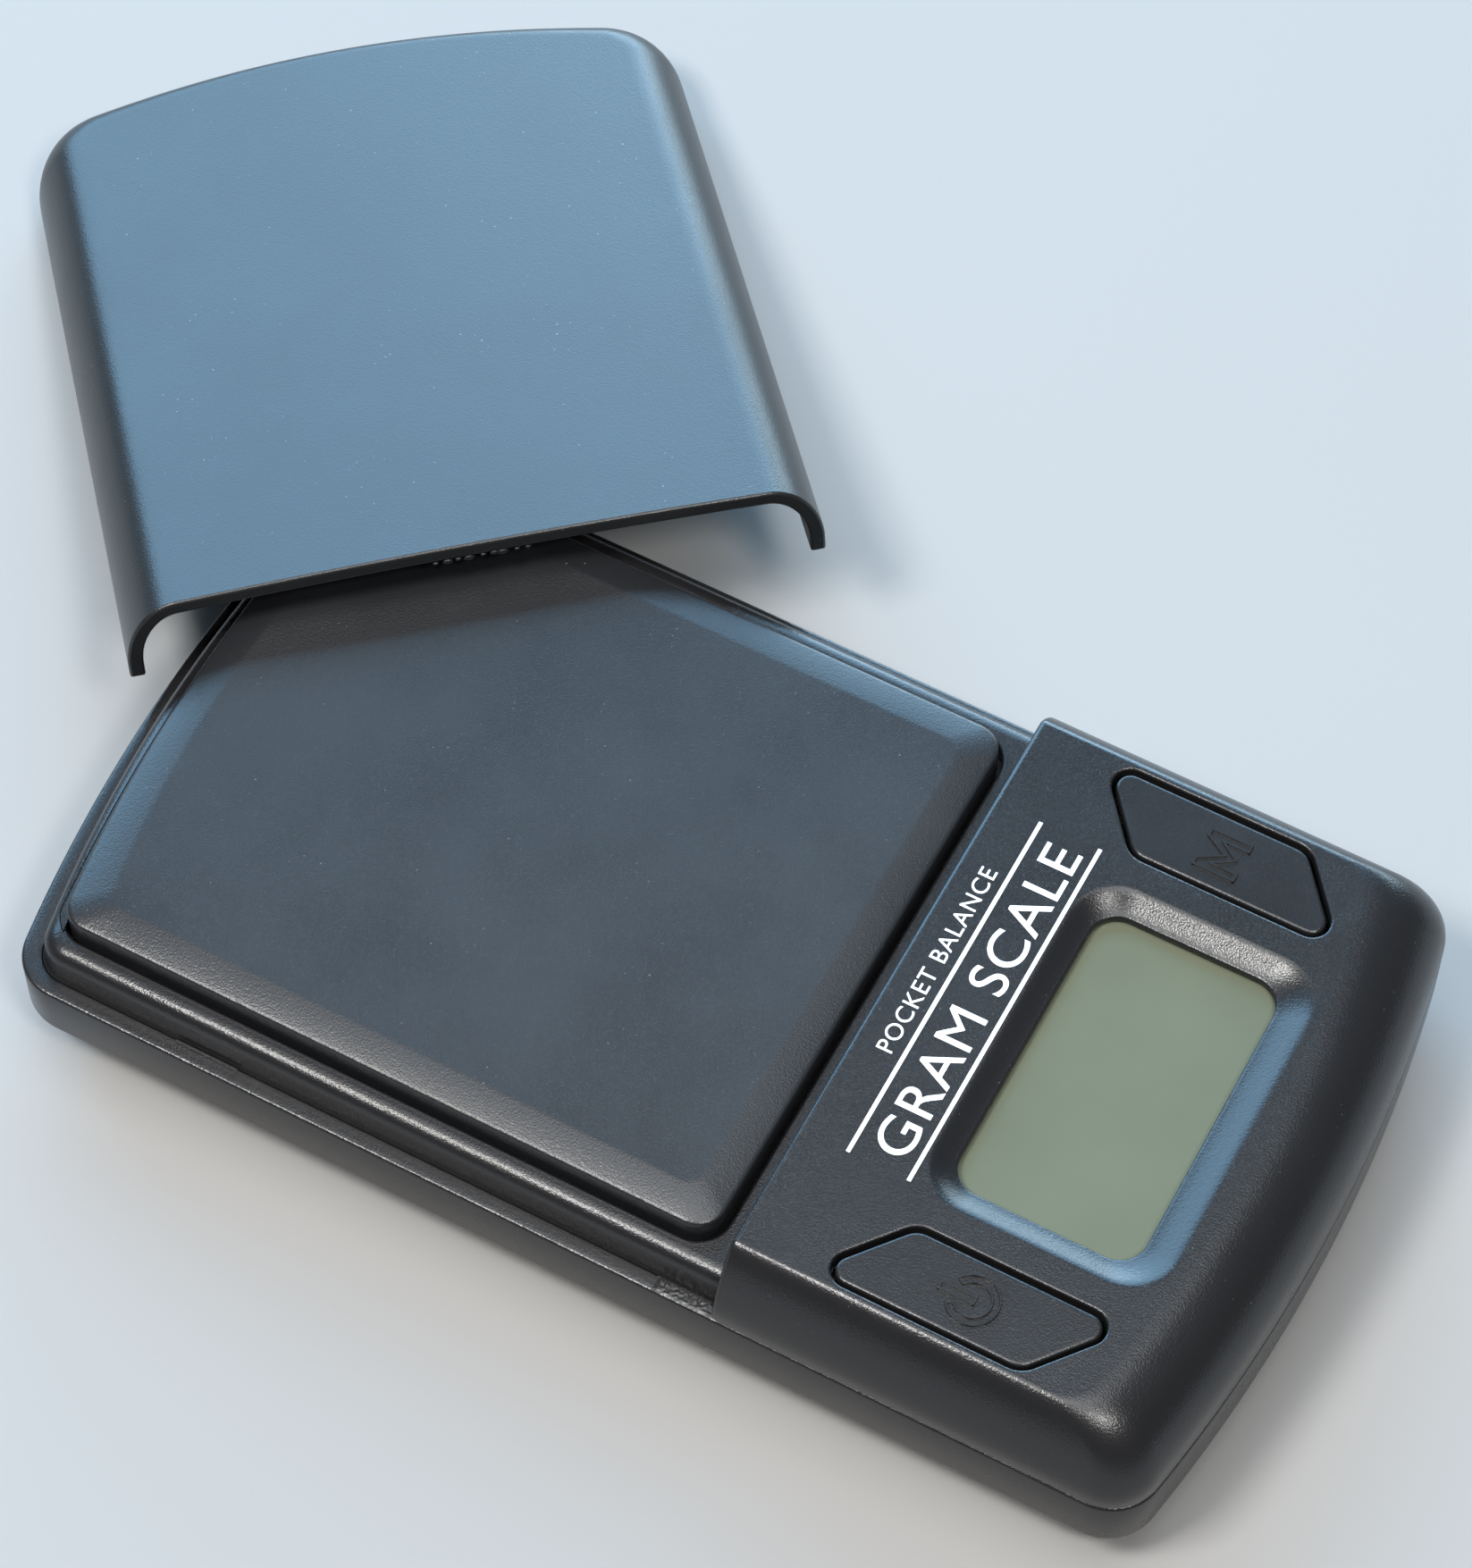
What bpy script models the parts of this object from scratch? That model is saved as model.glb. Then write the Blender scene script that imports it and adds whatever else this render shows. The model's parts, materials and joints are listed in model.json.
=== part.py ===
"""Pocket gram scale with a lift-off cover, built from its separate parts.

The scale lies along X: the weighing platform at -X, the display hood at +X.
All sizes are in millimetres from the centre of the scale's footprint, with
z = 0 on the surface that its feet stand on. The cover is off the scale and
leans on the far corner of the platform.
"""

import math

import bmesh
import bpy
from mathutils import Vector

MM = 0.001

# Whole scale
LENGTH = 130.0
WIDTH = 72.8
END_BOW = 3.8
CORNER = 5.5
LEAST_CORNER = 0.8
UNDERSIDE = 1.0
CASE_WALL = 1.8
CHAMFER = 4.9
SLOPE_DRAW_IN = 0.4
PAD_INSET = 4.2
LEDGE_Z = 12.8
GAP = 0.3
HALF_W = WIDTH / 2
TIP = LENGTH / 2
FAR = 80.0  # reach of a cutter that runs past the scale

# Lower case
PAD_Z = (2.4, 4.0)
PAD_END_X = 20.0
INNER_FOOT_Z = 2.0
SEAT_X = (-47.2, -35.5)
SEAT_HALF_W = 6.3

# Upper case
BORDER_INSET = 2.15
BORDER_Z = 16.9
BORDER_FOOT_Z = 11.0
HOOD_X = 17.3
HOOD_Z = 22.9
SHOULDER_Y = 4.3
SHOULDER_POWER = 1.45
SHOULDER_X = 8.0
SHOULDER_Z = 8.0
SHOULDER_STEPS = 5
CEILING_Z = HOOD_Z - CASE_WALL
FLOOR_Z = (13.4, 14.6)
HOOD_WALL_X = HOOD_X + CASE_WALL
BORDER_ROUND = 0.9
BORDER_LAP = 1.0
UNDER_WALL = 2.0
UNDER_END_X = 15.7
POST_OPENING_X = (-14.0, 4.0)
POST_OPENING_HALF_W = 9.0
OPENING_FOOT_Z = CEILING_Z - 3.0

# Weighing platform and what carries it
PLATFORM_X = (-60.6, 14.5)
PLATFORM_HALF_W = 31.2
PLATFORM_Z = 19.8
PLATFORM_BOW = 2.8
PLATFORM_CORNER = 3.0
PLATFORM_SKIRT_Z = 15.4
PLATFORM_PLATE = 1.6
PLATFORM_SKIRT = 1.4
PLATFORM_FALL = 0.5
PLATFORM_BAND = 3.4
PLATFORM_GAP = 0.5
PILLARS = [(x, y) for x in (-45.0, -1.0) for y in (-17.0, 17.0)]
PILLAR_R = 2.4
CARRIER_X = (-49.0, 3.0)
CARRIER_HALF_W = 21.0
CARRIER_CORNER = 3.0
CARRIER_Z = (15.2, 16.4)
CARRIER_SLOT_X = (-42.0, -13.0)
CARRIER_SLOT_Y = (7.5, 13.0)
SPACER_X = (-11.8, -0.2)
SPACER_HALF_W = 5.5
SPACER_LIFT = 0.5

# Load cell beam
BEAM_X = (-47.0, 0.0)
BEAM_HALF_W = 6.0
BEAM_Z = (4.7, 10.7)
BEAM_WAIST = (-29.5, -17.5)
BEAM_WAIST_R = 2.2
BEAM_SLOT = 0.8
BEAM_SCREW_R = 1.35
BEAM_HOLE_R = 1.65
FIXED_SCREWS_X = (-44.5, -38.5)
FREE_SCREWS_X = (-9.0, -3.0)
FIXED_RECESS_R = 3.1
GAUGE_HALF = (2.5, 2.0)
GAUGE_LIFT = (0.1, 0.3)
LEAD_R = 0.4

# Display
WINDOW_X = (31.9, 51.5)
WINDOW_HALF_W = 16.7
WINDOW_CORNER = 3.0
BEZEL_REACH_X = (2.6, 3.8)
BEZEL_REACH_Y = (2.7, 2.9)
BEZEL_DEPTH = 1.2
BEZEL_OVER = 0.6
LENS_LAP = 1.6
LENS_CORNER = 1.5
LENS_Z = (19.9, 20.8)
LCD_PLAY = (0.2, 0.3)
LCD_Z = (18.2, 19.6)
HOLDER_WALL = 1.2
CONNECTOR_IN = (1.6, 3.0)
CONNECTOR_HALF_X = 1.0
BOARD_Z = (15.5, 16.7)
BOARD_X = (20.5, 50.8)
BOARD_HALF_W = 31.0
BOARD_TONGUE = (55.0, 20.5)
CHIP_X = 24.8
CHIP_LIFT = 0.1

# Buttons
BUTTON_IN = 22.75
BUTTON_OUT = 31.35
BUTTON_IN_X = (31.9, 54.0)
BUTTON_OUT_X = (24.9, 47.0)
BUTTON_Z = 22.75
BUTTON_GAP = 0.5
BUTTON_X = 39.4
BUTTON_Y = 27.05
BUTTON_CORNERS = (1.7, 2.6, 1.7, 2.6)
BUTTON_SKIRT = 1.2
BUTTON_ROUND = 0.3
FLANGE_REACH = 0.5
FLANGE_Z = (19.7, CEILING_Z - 0.5)
POST_R = 1.5
POST_Z = (19.4, 20.2)
STEM_R = 1.6
STEM_Z = (17.7, 19.1)
SWITCH_X = 39.4
SWITCH_HALF = 3.0
SWITCH_TOP_Z = 18.6
SWITCH_HOLE_FOOT_Z = 17.2

# Battery bay
CELL_R = 5.25
CELL_LENGTH = 44.5
CELL_NUB = (1.9, 1.0)
CELL_ROUND = 0.3
CELL_X = (30.6, 42.0)
CELL_Z = 8.3
BAY_X = (24.7, 47.9)
BAY_HALF_W = 25.3
BAY_WALL = 1.3
BAY_ROOF_Z = 13.9
BAY_MOUTH = 22.9
BAY_FLOOR_Z = 4.0
CONTACT_HALF = 4.0
CONTACT_Y = (24.6, 25.0)
TAB_HALF = 1.2
TAB_Y = (24.7, 28.0)
TAB_Z = (11.9, 12.25)
TAB_ROOM = 0.4
SPRING_R = (3.2, 1.8)
SPRING_TURNS = 3
SPRING_STEPS = 10
SPRING_WIRE_R = 0.3
SPRING_PLAY = (0.15, 0.1)
BATTERY_LEAD_R = 0.5
DOOR_X = 22.0
DOOR_HALF_W = 23.4
DOOR_TOP_Z = 2.4
DOOR_RAIL = 1.0
DOOR_RAIL_X = (23.0, 55.0)
DOOR_RAIL_Z = (1.8, 2.35)
DOOR_GRIPS_X = [50.0 + 1.6 * i for i in range(5)]
DOOR_GRIP = (0.8, 7.0, 0.4)
CHANNEL_TOP_Z = 2.7
GROOVE_X = 22.4
GROOVE_Z = (1.5, 2.6)

# Fasteners and feet
CASE_SCREWS = [(-53.5, -26.5), (-53.5, 26.5), (54.5, -28.3), (54.5, 28.3)]
CASE_BOSS_R = 2.9
CASE_BOSS_TOP_Z = {-1: 8.0, 1: 12.0}
CASE_HOLE_R = 1.3
CASE_RECESS = (2.45, 3.3)
CASE_SCREW_LENGTH = {-1: 9.5, 1: 13.5}
UPPER_BOSS_Z = {-1: (8.3, 14.0), 1: (12.3, CEILING_Z + 0.5)}
UPPER_HOLE_Z = {-1: 13.9, 1: 18.0}
BOARD_SCREWS = [(26.0, -28.8), (26.0, 28.8)]
BOARD_POST_R = 2.1
BOARD_HOLE_R = 1.1
SLOT_HALF = 0.3
FEET = [(-43.0, -26.5), (-43.0, 26.5), (46.0, -28.4), (46.0, 28.4)]
FOOT_R = 2.7
FOOT_HEIGHT = 1.6
FOOT_ROUND = 0.4
FOOT_RECESS_Z = 1.9

# Cover, in its own frame: x runs from the open end to the closed end
COVER_LENGTH = 81.1
COVER_HALF_W = 36.0
COVER_HEIGHT = 9.5
COVER_WALL = 1.6
COVER_BOW = 4.4
COVER_CORNER = 8.0
COVER_SHOULDER_Y = 6.0
COVER_SHOULDER_X = 3.0
COVER_SHOULDER_Z = 8.0
COVER_CROWN = 0.6
COVER_PLACE = (-41.28, 21.98, 25.26)
COVER_TURN = math.radians(180.0 - 49.26)
COVER_TILT = math.radians(11.33)

RESOLUTION = 16
HOLE_SIDES = 12
FINE_SIDES = 20


# ---------------------------------------------------------------- set-up

for old in list(bpy.data.objects):
    bpy.data.objects.remove(old, do_unlink=True)


def new_collection(name):
    collection = bpy.data.collections.new(name)
    bpy.context.scene.collection.children.link(collection)
    return collection


PARTS = new_collection("gram_scale")
CUTTERS = new_collection("cutters")


def finish(name, colour, roughness, metallic=0.0):
    material = bpy.data.materials.new(name)
    material.use_nodes = True
    shader = material.node_tree.nodes["Principled BSDF"]
    shader.inputs["Base Color"].default_value = (*colour, 1.0)
    shader.inputs["Roughness"].default_value = roughness
    shader.inputs["Metallic"].default_value = metallic
    return material


CASE_BLACK = finish("case_black", (0.035, 0.038, 0.042), 0.5)
COVER_BLACK = finish("cover_black", (0.035, 0.038, 0.042), 0.45)
TRAY_SLATE = finish("tray_slate", (0.06, 0.07, 0.08), 0.5)
BUTTON_SATIN = finish("button_satin", (0.05, 0.055, 0.06), 0.35)
CLEAR_PLASTIC = finish("clear_plastic", (0.5, 0.55, 0.5), 0.08)
LCD_GREY = finish("lcd_grey", (0.24, 0.29, 0.2), 0.2)
RUBBER = finish("rubber", (0.02, 0.02, 0.02), 0.85)
BOARD_GREEN = finish("board_green", (0.02, 0.12, 0.05), 0.45)
EPOXY = finish("epoxy", (0.01, 0.01, 0.01), 0.3)
ALUMINIUM = finish("aluminium", (0.75, 0.76, 0.78), 0.35, 1.0)
STEEL = finish("steel", (0.6, 0.6, 0.6), 0.3, 1.0)
NICKEL = finish("nickel", (0.7, 0.68, 0.62), 0.25, 1.0)
GAUGE_FOIL = finish("gauge_foil", (0.6, 0.35, 0.1), 0.4)
CELL_JACKET = finish("cell_jacket", (0.1, 0.2, 0.35), 0.3)
WHITE_PLASTIC = finish("white_plastic", (0.75, 0.75, 0.72), 0.5)
WIRE_RED = finish("wire_red", (0.5, 0.02, 0.02), 0.4)
WIRE_BLACK = finish("wire_black", (0.02, 0.02, 0.02), 0.4)
WIRE_GREEN = finish("wire_green", (0.02, 0.3, 0.06), 0.4)
WIRE_WHITE = finish("wire_white", (0.8, 0.8, 0.8), 0.4)


# ---------------------------------------------------------------- tools

def add_empty(name, place=(0.0, 0.0, 0.0), rotation=(0.0, 0.0, 0.0), parent=None):
    empty = bpy.data.objects.new(name, None)
    empty.empty_display_size = 10 * MM
    empty.location = Vector(place) * MM
    empty.rotation_euler = rotation
    empty.parent = parent
    PARTS.objects.link(empty)
    return empty


ROOT = add_empty("scale_centre")


def add_object(name, mesh, parent=ROOT):
    thing = bpy.data.objects.new(name, mesh)
    thing.parent = parent
    CUTTERS.objects.link(thing)
    thing.hide_render = True
    thing.display_type = "WIRE"
    return thing


def as_part(thing, material, round_shape=False):
    """Move a finished shape from the cutters to the parts and give it its finish."""
    CUTTERS.objects.unlink(thing)
    PARTS.objects.link(thing)
    thing.hide_render = False
    thing.display_type = "TEXTURED"
    thing.data.materials.clear()
    thing.data.materials.append(material)
    if round_shape:
        thing.data.shade_smooth()
        thing.data.set_sharp_from_angle(angle=math.radians(35))
    return thing


def box(name, x_range, y_range, z_range, parent=ROOT):
    bm = bmesh.new()
    bmesh.ops.create_cube(bm, size=1.0)
    size = [hi - lo for lo, hi in (x_range, y_range, z_range)]
    middle = [(hi + lo) / 2 for lo, hi in (x_range, y_range, z_range)]
    bmesh.ops.scale(bm, vec=Vector(size) * MM, verts=bm.verts)
    bmesh.ops.translate(bm, vec=Vector(middle) * MM, verts=bm.verts)
    mesh = bpy.data.meshes.new(name)
    bm.to_mesh(mesh)
    bm.free()
    return add_object(name, mesh, parent)


def cylinder(name, radius, z_range, place, segments=RESOLUTION, parent=ROOT):
    bm = bmesh.new()
    bmesh.ops.create_cone(bm, cap_ends=True, segments=segments, radius1=radius * MM,
                          radius2=radius * MM, depth=(z_range[1] - z_range[0]) * MM)
    mesh = bpy.data.meshes.new(name)
    bm.to_mesh(mesh)
    bm.free()
    thing = add_object(name, mesh, parent)
    thing.location = Vector((place[0], place[1], (z_range[0] + z_range[1]) / 2)) * MM
    return thing


def cylinder_along_y(name, radius, y_range, x, z, segments=RESOLUTION):
    thing = cylinder(name, radius, y_range, (x, 0.0), segments)
    thing.rotation_euler = (math.radians(-90), 0.0, 0.0)
    thing.location = Vector((x, (y_range[0] + y_range[1]) / 2, z)) * MM
    return thing


def turned(name, profile, place, steps=RESOLUTION, parent=ROOT):
    """Turn a closed (radius, height) profile, outer side top to bottom, about Z."""
    mesh = bpy.data.meshes.new(name)
    bm = bmesh.new()
    points = [bm.verts.new((radius * MM, 0.0, z * MM)) for radius, z in profile]
    for first, second in zip(points, points[1:]):
        bm.edges.new((first, second))
    bm.to_mesh(mesh)
    bm.free()
    thing = add_object(name, mesh, parent)
    thing.location = Vector(place) * MM
    screw = thing.modifiers.new("turn", "SCREW")
    screw.steps = steps
    screw.render_steps = steps
    screw.use_merge_vertices = True
    screw.merge_threshold = 0.00001
    return thing


def curve_to_mesh(name, curve, parent):
    """Fill the curve, weld its caps and flatten them to single faces."""
    guide = bpy.data.objects.new(name + "_curve", curve)
    CUTTERS.objects.link(guide)
    guide.parent = parent
    bpy.context.view_layer.update()
    evaluated = guide.evaluated_get(bpy.context.evaluated_depsgraph_get())
    mesh = bpy.data.meshes.new_from_object(evaluated)
    bm = bmesh.new()
    bm.from_mesh(mesh)
    bmesh.ops.remove_doubles(bm, verts=bm.verts, dist=0.000001)
    bmesh.ops.dissolve_limit(bm, angle_limit=0.001, verts=bm.verts, edges=bm.edges)
    bmesh.ops.recalc_face_normals(bm, faces=bm.faces)
    bm.to_mesh(mesh)
    bm.free()
    mesh.name = name
    thing = add_object(name, mesh, parent)
    thing.matrix_world = guide.matrix_world
    bpy.data.objects.remove(guide, do_unlink=True)
    return thing


def prism(name, outline, z_range, parent=ROOT):
    """A flat closed outline raised between two heights."""
    curve = bpy.data.curves.new(name, "CURVE")
    curve.dimensions = "2D"
    curve.fill_mode = "BOTH"
    curve.extrude = (z_range[1] - z_range[0]) / 2 * MM
    spline = curve.splines.new("POLY")
    spline.points.add(len(outline) - 1)
    for point, (x, y) in zip(spline.points, outline):
        point.co = (x * MM, y * MM, 0.0, 1.0)
    spline.use_cyclic_u = True
    thing = curve_to_mesh(name, curve, parent)
    thing.location.z += (z_range[0] + z_range[1]) / 2 * MM
    return thing


def loft(name, rings, parent=ROOT):
    """A closed body through level outlines, given as (outline, height) from the bottom up."""
    bm = bmesh.new()
    outline, level = rings[0]
    ring = [bm.verts.new((x * MM, y * MM, level * MM)) for x, y in outline]
    edges = [bm.edges.new((ring[i - 1], ring[i])) for i in range(len(ring))]
    bmesh.ops.contextual_create(bm, geom=edges)
    for outline, level in rings[1:]:
        made = bmesh.ops.extrude_edge_only(bm, edges=edges)["geom"]
        above = {tuple(item.co): item for item in made if isinstance(item, bmesh.types.BMVert)}
        ring = [above[tuple(vert.co)] for vert in ring]
        edges = [bm.edges.get((ring[i - 1], ring[i])) for i in range(len(ring))]
        for vert, (x, y) in zip(ring, outline):
            vert.co = (x * MM, y * MM, level * MM)
    bmesh.ops.contextual_create(bm, geom=edges)
    bmesh.ops.recalc_face_normals(bm, faces=bm.faces)
    bmesh.ops.triangulate(bm, faces=[face for face in bm.faces if len(face.verts) == 4])
    mesh = bpy.data.meshes.new(name)
    bm.to_mesh(mesh)
    bm.free()
    return add_object(name, mesh, parent)


def wire(name, points, radius, material, sides=2, parent=ROOT):
    curve = bpy.data.curves.new(name, "CURVE")
    curve.dimensions = "3D"
    curve.bevel_depth = radius * MM
    curve.bevel_resolution = sides
    curve.use_fill_caps = True
    spline = curve.splines.new("POLY")
    spline.points.add(len(points) - 1)
    for point, place in zip(spline.points, points):
        point.co = (*(Vector(place) * MM), 1.0)
    thing = curve_to_mesh(name, curve, parent)
    return as_part(thing, material, round_shape=True)


def cut(target, *cutters):
    for cutter in cutters:
        modifier = target.modifiers.new("cut_" + cutter.name, "BOOLEAN")
        modifier.operation = "DIFFERENCE"
        modifier.object = cutter


def join(target, *pieces):
    for piece in pieces:
        modifier = target.modifiers.new("join_" + piece.name, "BOOLEAN")
        modifier.operation = "UNION"
        modifier.object = piece


def keep_inside(target, shape):
    modifier = target.modifiers.new("keep_" + shape.name, "BOOLEAN")
    modifier.operation = "INTERSECT"
    modifier.object = shape


def bevel_rim(thing, top, width, segments):
    """Bevel only the rim of a prism's top or bottom face."""
    bm = bmesh.new()
    bm.from_mesh(thing.data)
    level = max(v.co.z for v in bm.verts) if top else min(v.co.z for v in bm.verts)
    weight = bm.edges.layers.float.new("bevel_weight_edge")
    for edge in bm.edges:
        if all(abs(v.co.z - level) < 0.01 * MM for v in edge.verts):
            edge[weight] = 1.0
    bm.to_mesh(thing.data)
    bm.free()
    modifier = thing.modifiers.new("rim", "BEVEL")
    modifier.limit_method = "WEIGHT"
    modifier.width = width * MM
    modifier.segments = segments
    modifier.use_clamp_overlap = False


def arc(centre, radius, start, end, steps):
    """Points on a circle from one angle to the other, both included."""
    angles = [start + (end - start) * i / steps for i in range(steps + 1)]
    return [(centre[0] + radius * math.cos(a), centre[1] + radius * math.sin(a)) for a in angles]


def bowed_end(tip, half_width, bow, corner, steps=5, end_steps=8):
    """Half of a plan: the end at +X, from its near corner to its far corner."""
    if bow == 0.0:
        centre = (tip - corner, -(half_width - corner))
        near = arc(centre, corner, -math.pi / 2, 0.0, steps)
        return near + [(x, -y) for x, y in reversed(near)]
    radius = (half_width ** 2 + bow ** 2) / (2 * bow)
    hub = tip - radius
    corner_y = half_width - corner
    corner_x = hub + math.sqrt((radius - corner) ** 2 - corner_y ** 2)
    turn = math.atan2(corner_y, corner_x - hub)
    near = arc((corner_x, -corner_y), corner, -math.pi / 2, -turn, steps)
    end = arc((hub, 0.0), radius, -turn, turn, end_steps)
    far = [(x, -y) for x, y in reversed(near)]
    return near + end[1:-1] + far


def plan(x_range, half_width, bows, corners):
    """Closed outline with a bowed or straight end at each side."""
    middle = (x_range[0] + x_range[1]) / 2
    reach = (x_range[1] - x_range[0]) / 2
    right = bowed_end(reach, half_width, bows[1], corners[1])
    left = [(-x, -y) for x, y in bowed_end(reach, half_width, bows[0], corners[0])]
    return [(x + middle, y) for x, y in right + left]


def case_plan(inset, end_inset=None):
    """Outline of the case, drawn in at its sides and, if given apart, at its ends."""
    ends = inset if end_inset is None else end_inset
    return plan((-TIP + ends, TIP - ends), HALF_W - inset, (END_BOW, END_BOW),
                (max(CORNER - inset, LEAST_CORNER),) * 2)


def case_block(name, inset, low, high):
    """The lower case's outer form, or its inside, with the sloping lower edge."""
    slope = CHAMFER - inset * SLOPE_DRAW_IN
    rings = [(case_plan(inset + slope), low), (case_plan(inset), low + slope), (case_plan(inset), high)]
    return loft(name, rings)


def quarter(steps):
    """Fractions (inwards, upwards) along a quarter ellipse, from its side to its top."""
    turns = [math.pi / 2 * i / steps for i in range(steps + 1)]
    return [(1 - math.cos(turn), math.sin(turn)) for turn in turns]


def hood_block(name, inset, low):
    """The hood's outer form, or its inside, with tight flattened sides and a rounder end."""
    side, end, rise = SHOULDER_Y - inset, SHOULDER_X - inset, SHOULDER_Z - inset
    top = HOOD_Z - inset
    rings = [(case_plan(inset), low)]
    for inwards, upwards in quarter(SHOULDER_STEPS):
        flat = 1 - max(1 - upwards ** SHOULDER_POWER, 0.0) ** (1 / SHOULDER_POWER)
        rings.append((case_plan(inset + side * flat, inset + end * inwards), top - rise * (1 - upwards)))
    return loft(name, rings)


def rounded_corners(corners, radii, steps=4):
    """Round each corner of a polygon, given counter-clockwise, with its own radius."""
    outline = []
    count = len(corners)
    for i, radius in enumerate(radii):
        here = Vector(corners[i])
        before = (Vector(corners[i - 1]) - here).normalized()
        after = (Vector(corners[(i + 1) % count]) - here).normalized()
        half = before.angle(after) / 2
        centre = here + (before + after).normalized() * (radius / math.sin(half))
        start = here + before * (radius / math.tan(half)) - centre
        end = here + after * (radius / math.tan(half)) - centre
        sweep = start.angle_signed(end)
        for step in range(steps + 1):
            angle = math.atan2(start.y, start.x) - sweep * step / steps
            outline.append((centre.x + radius * math.cos(angle), centre.y + radius * math.sin(angle)))
    return outline


def end_sign(x):
    """-1 at the platform end of the scale, 1 at the display end."""
    return -1 if x < 0 else 1


# ---------------------------------------------------------------- lower case

def make_lower_case():
    case = case_block("lower_case", 0.0, UNDERSIDE, LEDGE_Z)
    cut(case, case_block("case_inside", CASE_WALL, UNDERSIDE + CASE_WALL, LEDGE_Z + CASE_WALL))
    bay_y = BAY_HALF_W + BAY_WALL
    pad = prism("bay_pad", case_plan(PAD_INSET), PAD_Z)
    cut(pad, box("bay_pad_end", (-FAR, PAD_END_X), (-FAR, FAR), (0.0, PAD_Z[1] * 2)))
    join(case,
         pad,
         box("bay_outer", (BAY_X[0] - BAY_WALL, BAY_X[1] + BAY_WALL), (-bay_y, bay_y),
             (PAD_Z[0], BAY_ROOF_Z + BAY_WALL)),
         box("beam_seat", SEAT_X, (-SEAT_HALF_W, SEAT_HALF_W), (INNER_FOOT_Z, BEAM_Z[0] - GAP)))
    for i, (x, y) in enumerate(CASE_SCREWS):
        top = CASE_BOSS_TOP_Z[end_sign(x)]
        join(case, cylinder(f"case_boss_{i}", CASE_BOSS_R, (INNER_FOOT_Z, top), (x, y)))
    for i, place in enumerate(BOARD_SCREWS):
        top = BOARD_Z[0] - GAP
        join(case, cylinder(f"board_post_{i}", BOARD_POST_R, (INNER_FOOT_Z, top), place))
        hole = (BOARD_Z[0] / 2, BOARD_Z[1])
        cut(case, cylinder(f"board_post_hole_{i}", BOARD_HOLE_R, hole, place, HOLE_SIDES))
    for i, place in enumerate(CASE_SCREWS):
        radius, depth_z = CASE_RECESS
        cut(case, cylinder(f"case_screw_recess_{i}", radius, (0.0, depth_z), place),
            cylinder(f"case_screw_hole_{i}", CASE_HOLE_R, (depth_z - GAP, HOOD_Z), place, HOLE_SIDES))
    for i, place in enumerate(FEET):
        cut(case, cylinder(f"foot_recess_{i}", FOOT_R + GAP, (0.0, FOOT_RECESS_Z), place, FINE_SIDES))
    for i, x in enumerate(FIXED_SCREWS_X):
        seat = UNDERSIDE + INNER_FOOT_Z
        cut(case, cylinder(f"beam_screw_recess_{i}", FIXED_RECESS_R, (0.0, seat), (x, 0.0)),
            cylinder(f"beam_screw_hole_{i}", BEAM_HOLE_R, (seat / 2, BEAM_Z[1]), (x, 0.0), HOLE_SIDES))
    width = DOOR_HALF_W + GAP
    channel = box("door_channel", (DOOR_X - GAP, FAR), (-width, width), (0.0, CHANNEL_TOP_Z))
    rail = width + DOOR_RAIL
    join(channel, box("rail_groove", (GROOVE_X, FAR + 1.0), (-rail, rail), GROOVE_Z))
    cut(case,
        box("bay_inside", BAY_X, (-BAY_HALF_W, BAY_HALF_W), (BAY_FLOOR_Z, BAY_ROOF_Z)),
        box("bay_mouth", BAY_X, (-BAY_MOUTH, BAY_MOUTH), (0.0, BAY_FLOOR_Z + 1.0)),
        channel)
    for i, x in enumerate(CELL_X):
        reach = TAB_HALF + TAB_ROOM
        slot_y = (BAY_HALF_W - BAY_WALL, BAY_HALF_W + BAY_WALL * 2)
        slot_z = (TAB_Z[0] - TAB_ROOM, TAB_Z[1] + TAB_ROOM)
        cut(case, box(f"tab_slot_{i}", (x - reach, x + reach), slot_y, slot_z))
    as_part(case, CASE_BLACK)


# ---------------------------------------------------------------- upper case

def button_plan(side, grow):
    """Slanted button outline; grow moves its edges outwards."""
    slant = (BUTTON_IN_X[1] - BUTTON_OUT_X[1]) / (BUTTON_OUT - BUTTON_IN)
    shift = grow * math.hypot(1.0, slant)
    inner, outer = BUTTON_IN - grow, BUTTON_OUT + grow
    corners = [(BUTTON_OUT_X[0] - slant * grow - shift, -outer),
               (BUTTON_OUT_X[1] - slant * grow + shift, -outer),
               (BUTTON_IN_X[1] + slant * grow + shift, -inner),
               (BUTTON_IN_X[0] + slant * grow - shift, -inner)]
    outline = rounded_corners(corners, [r + grow for r in BUTTON_CORNERS])
    if side > 0:
        outline = [(x, -y) for x, y in reversed(outline)]
    return outline


def window_plan(grow, corner):
    low, high = WINDOW_X
    return plan((low - grow, high + grow), WINDOW_HALF_W + grow, (0.0, 0.0), (corner, corner))


def make_bezel_cutter():
    """Sloping recess round the display window, wider towards the end of the scale."""
    top_z = HOOD_Z + BEZEL_OVER
    over = 1.0 + BEZEL_OVER / BEZEL_DEPTH
    base = prism("bezel_recess", window_plan(0.0, WINDOW_CORNER), (HOOD_Z - BEZEL_DEPTH, top_z))
    bm = bmesh.new()
    bm.from_mesh(base.data)
    top = max(v.co.z for v in bm.verts)
    rim = [v for v in bm.verts if abs(v.co.z - top) < 0.01 * MM]
    middle = (WINDOW_X[0] + WINDOW_X[1]) / 2 * MM
    half = (WINDOW_X[1] - WINDOW_X[0]) / 2
    for vert in rim:
        along = BEZEL_REACH_X[vert.co.x > middle]
        across = BEZEL_REACH_Y[vert.co.y > 0.0]
        vert.co.x = middle + (vert.co.x - middle) * (1 + over * along / half)
        vert.co.y *= 1 + over * across / WINDOW_HALF_W
    bm.to_mesh(base.data)
    bm.free()
    return base


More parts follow.
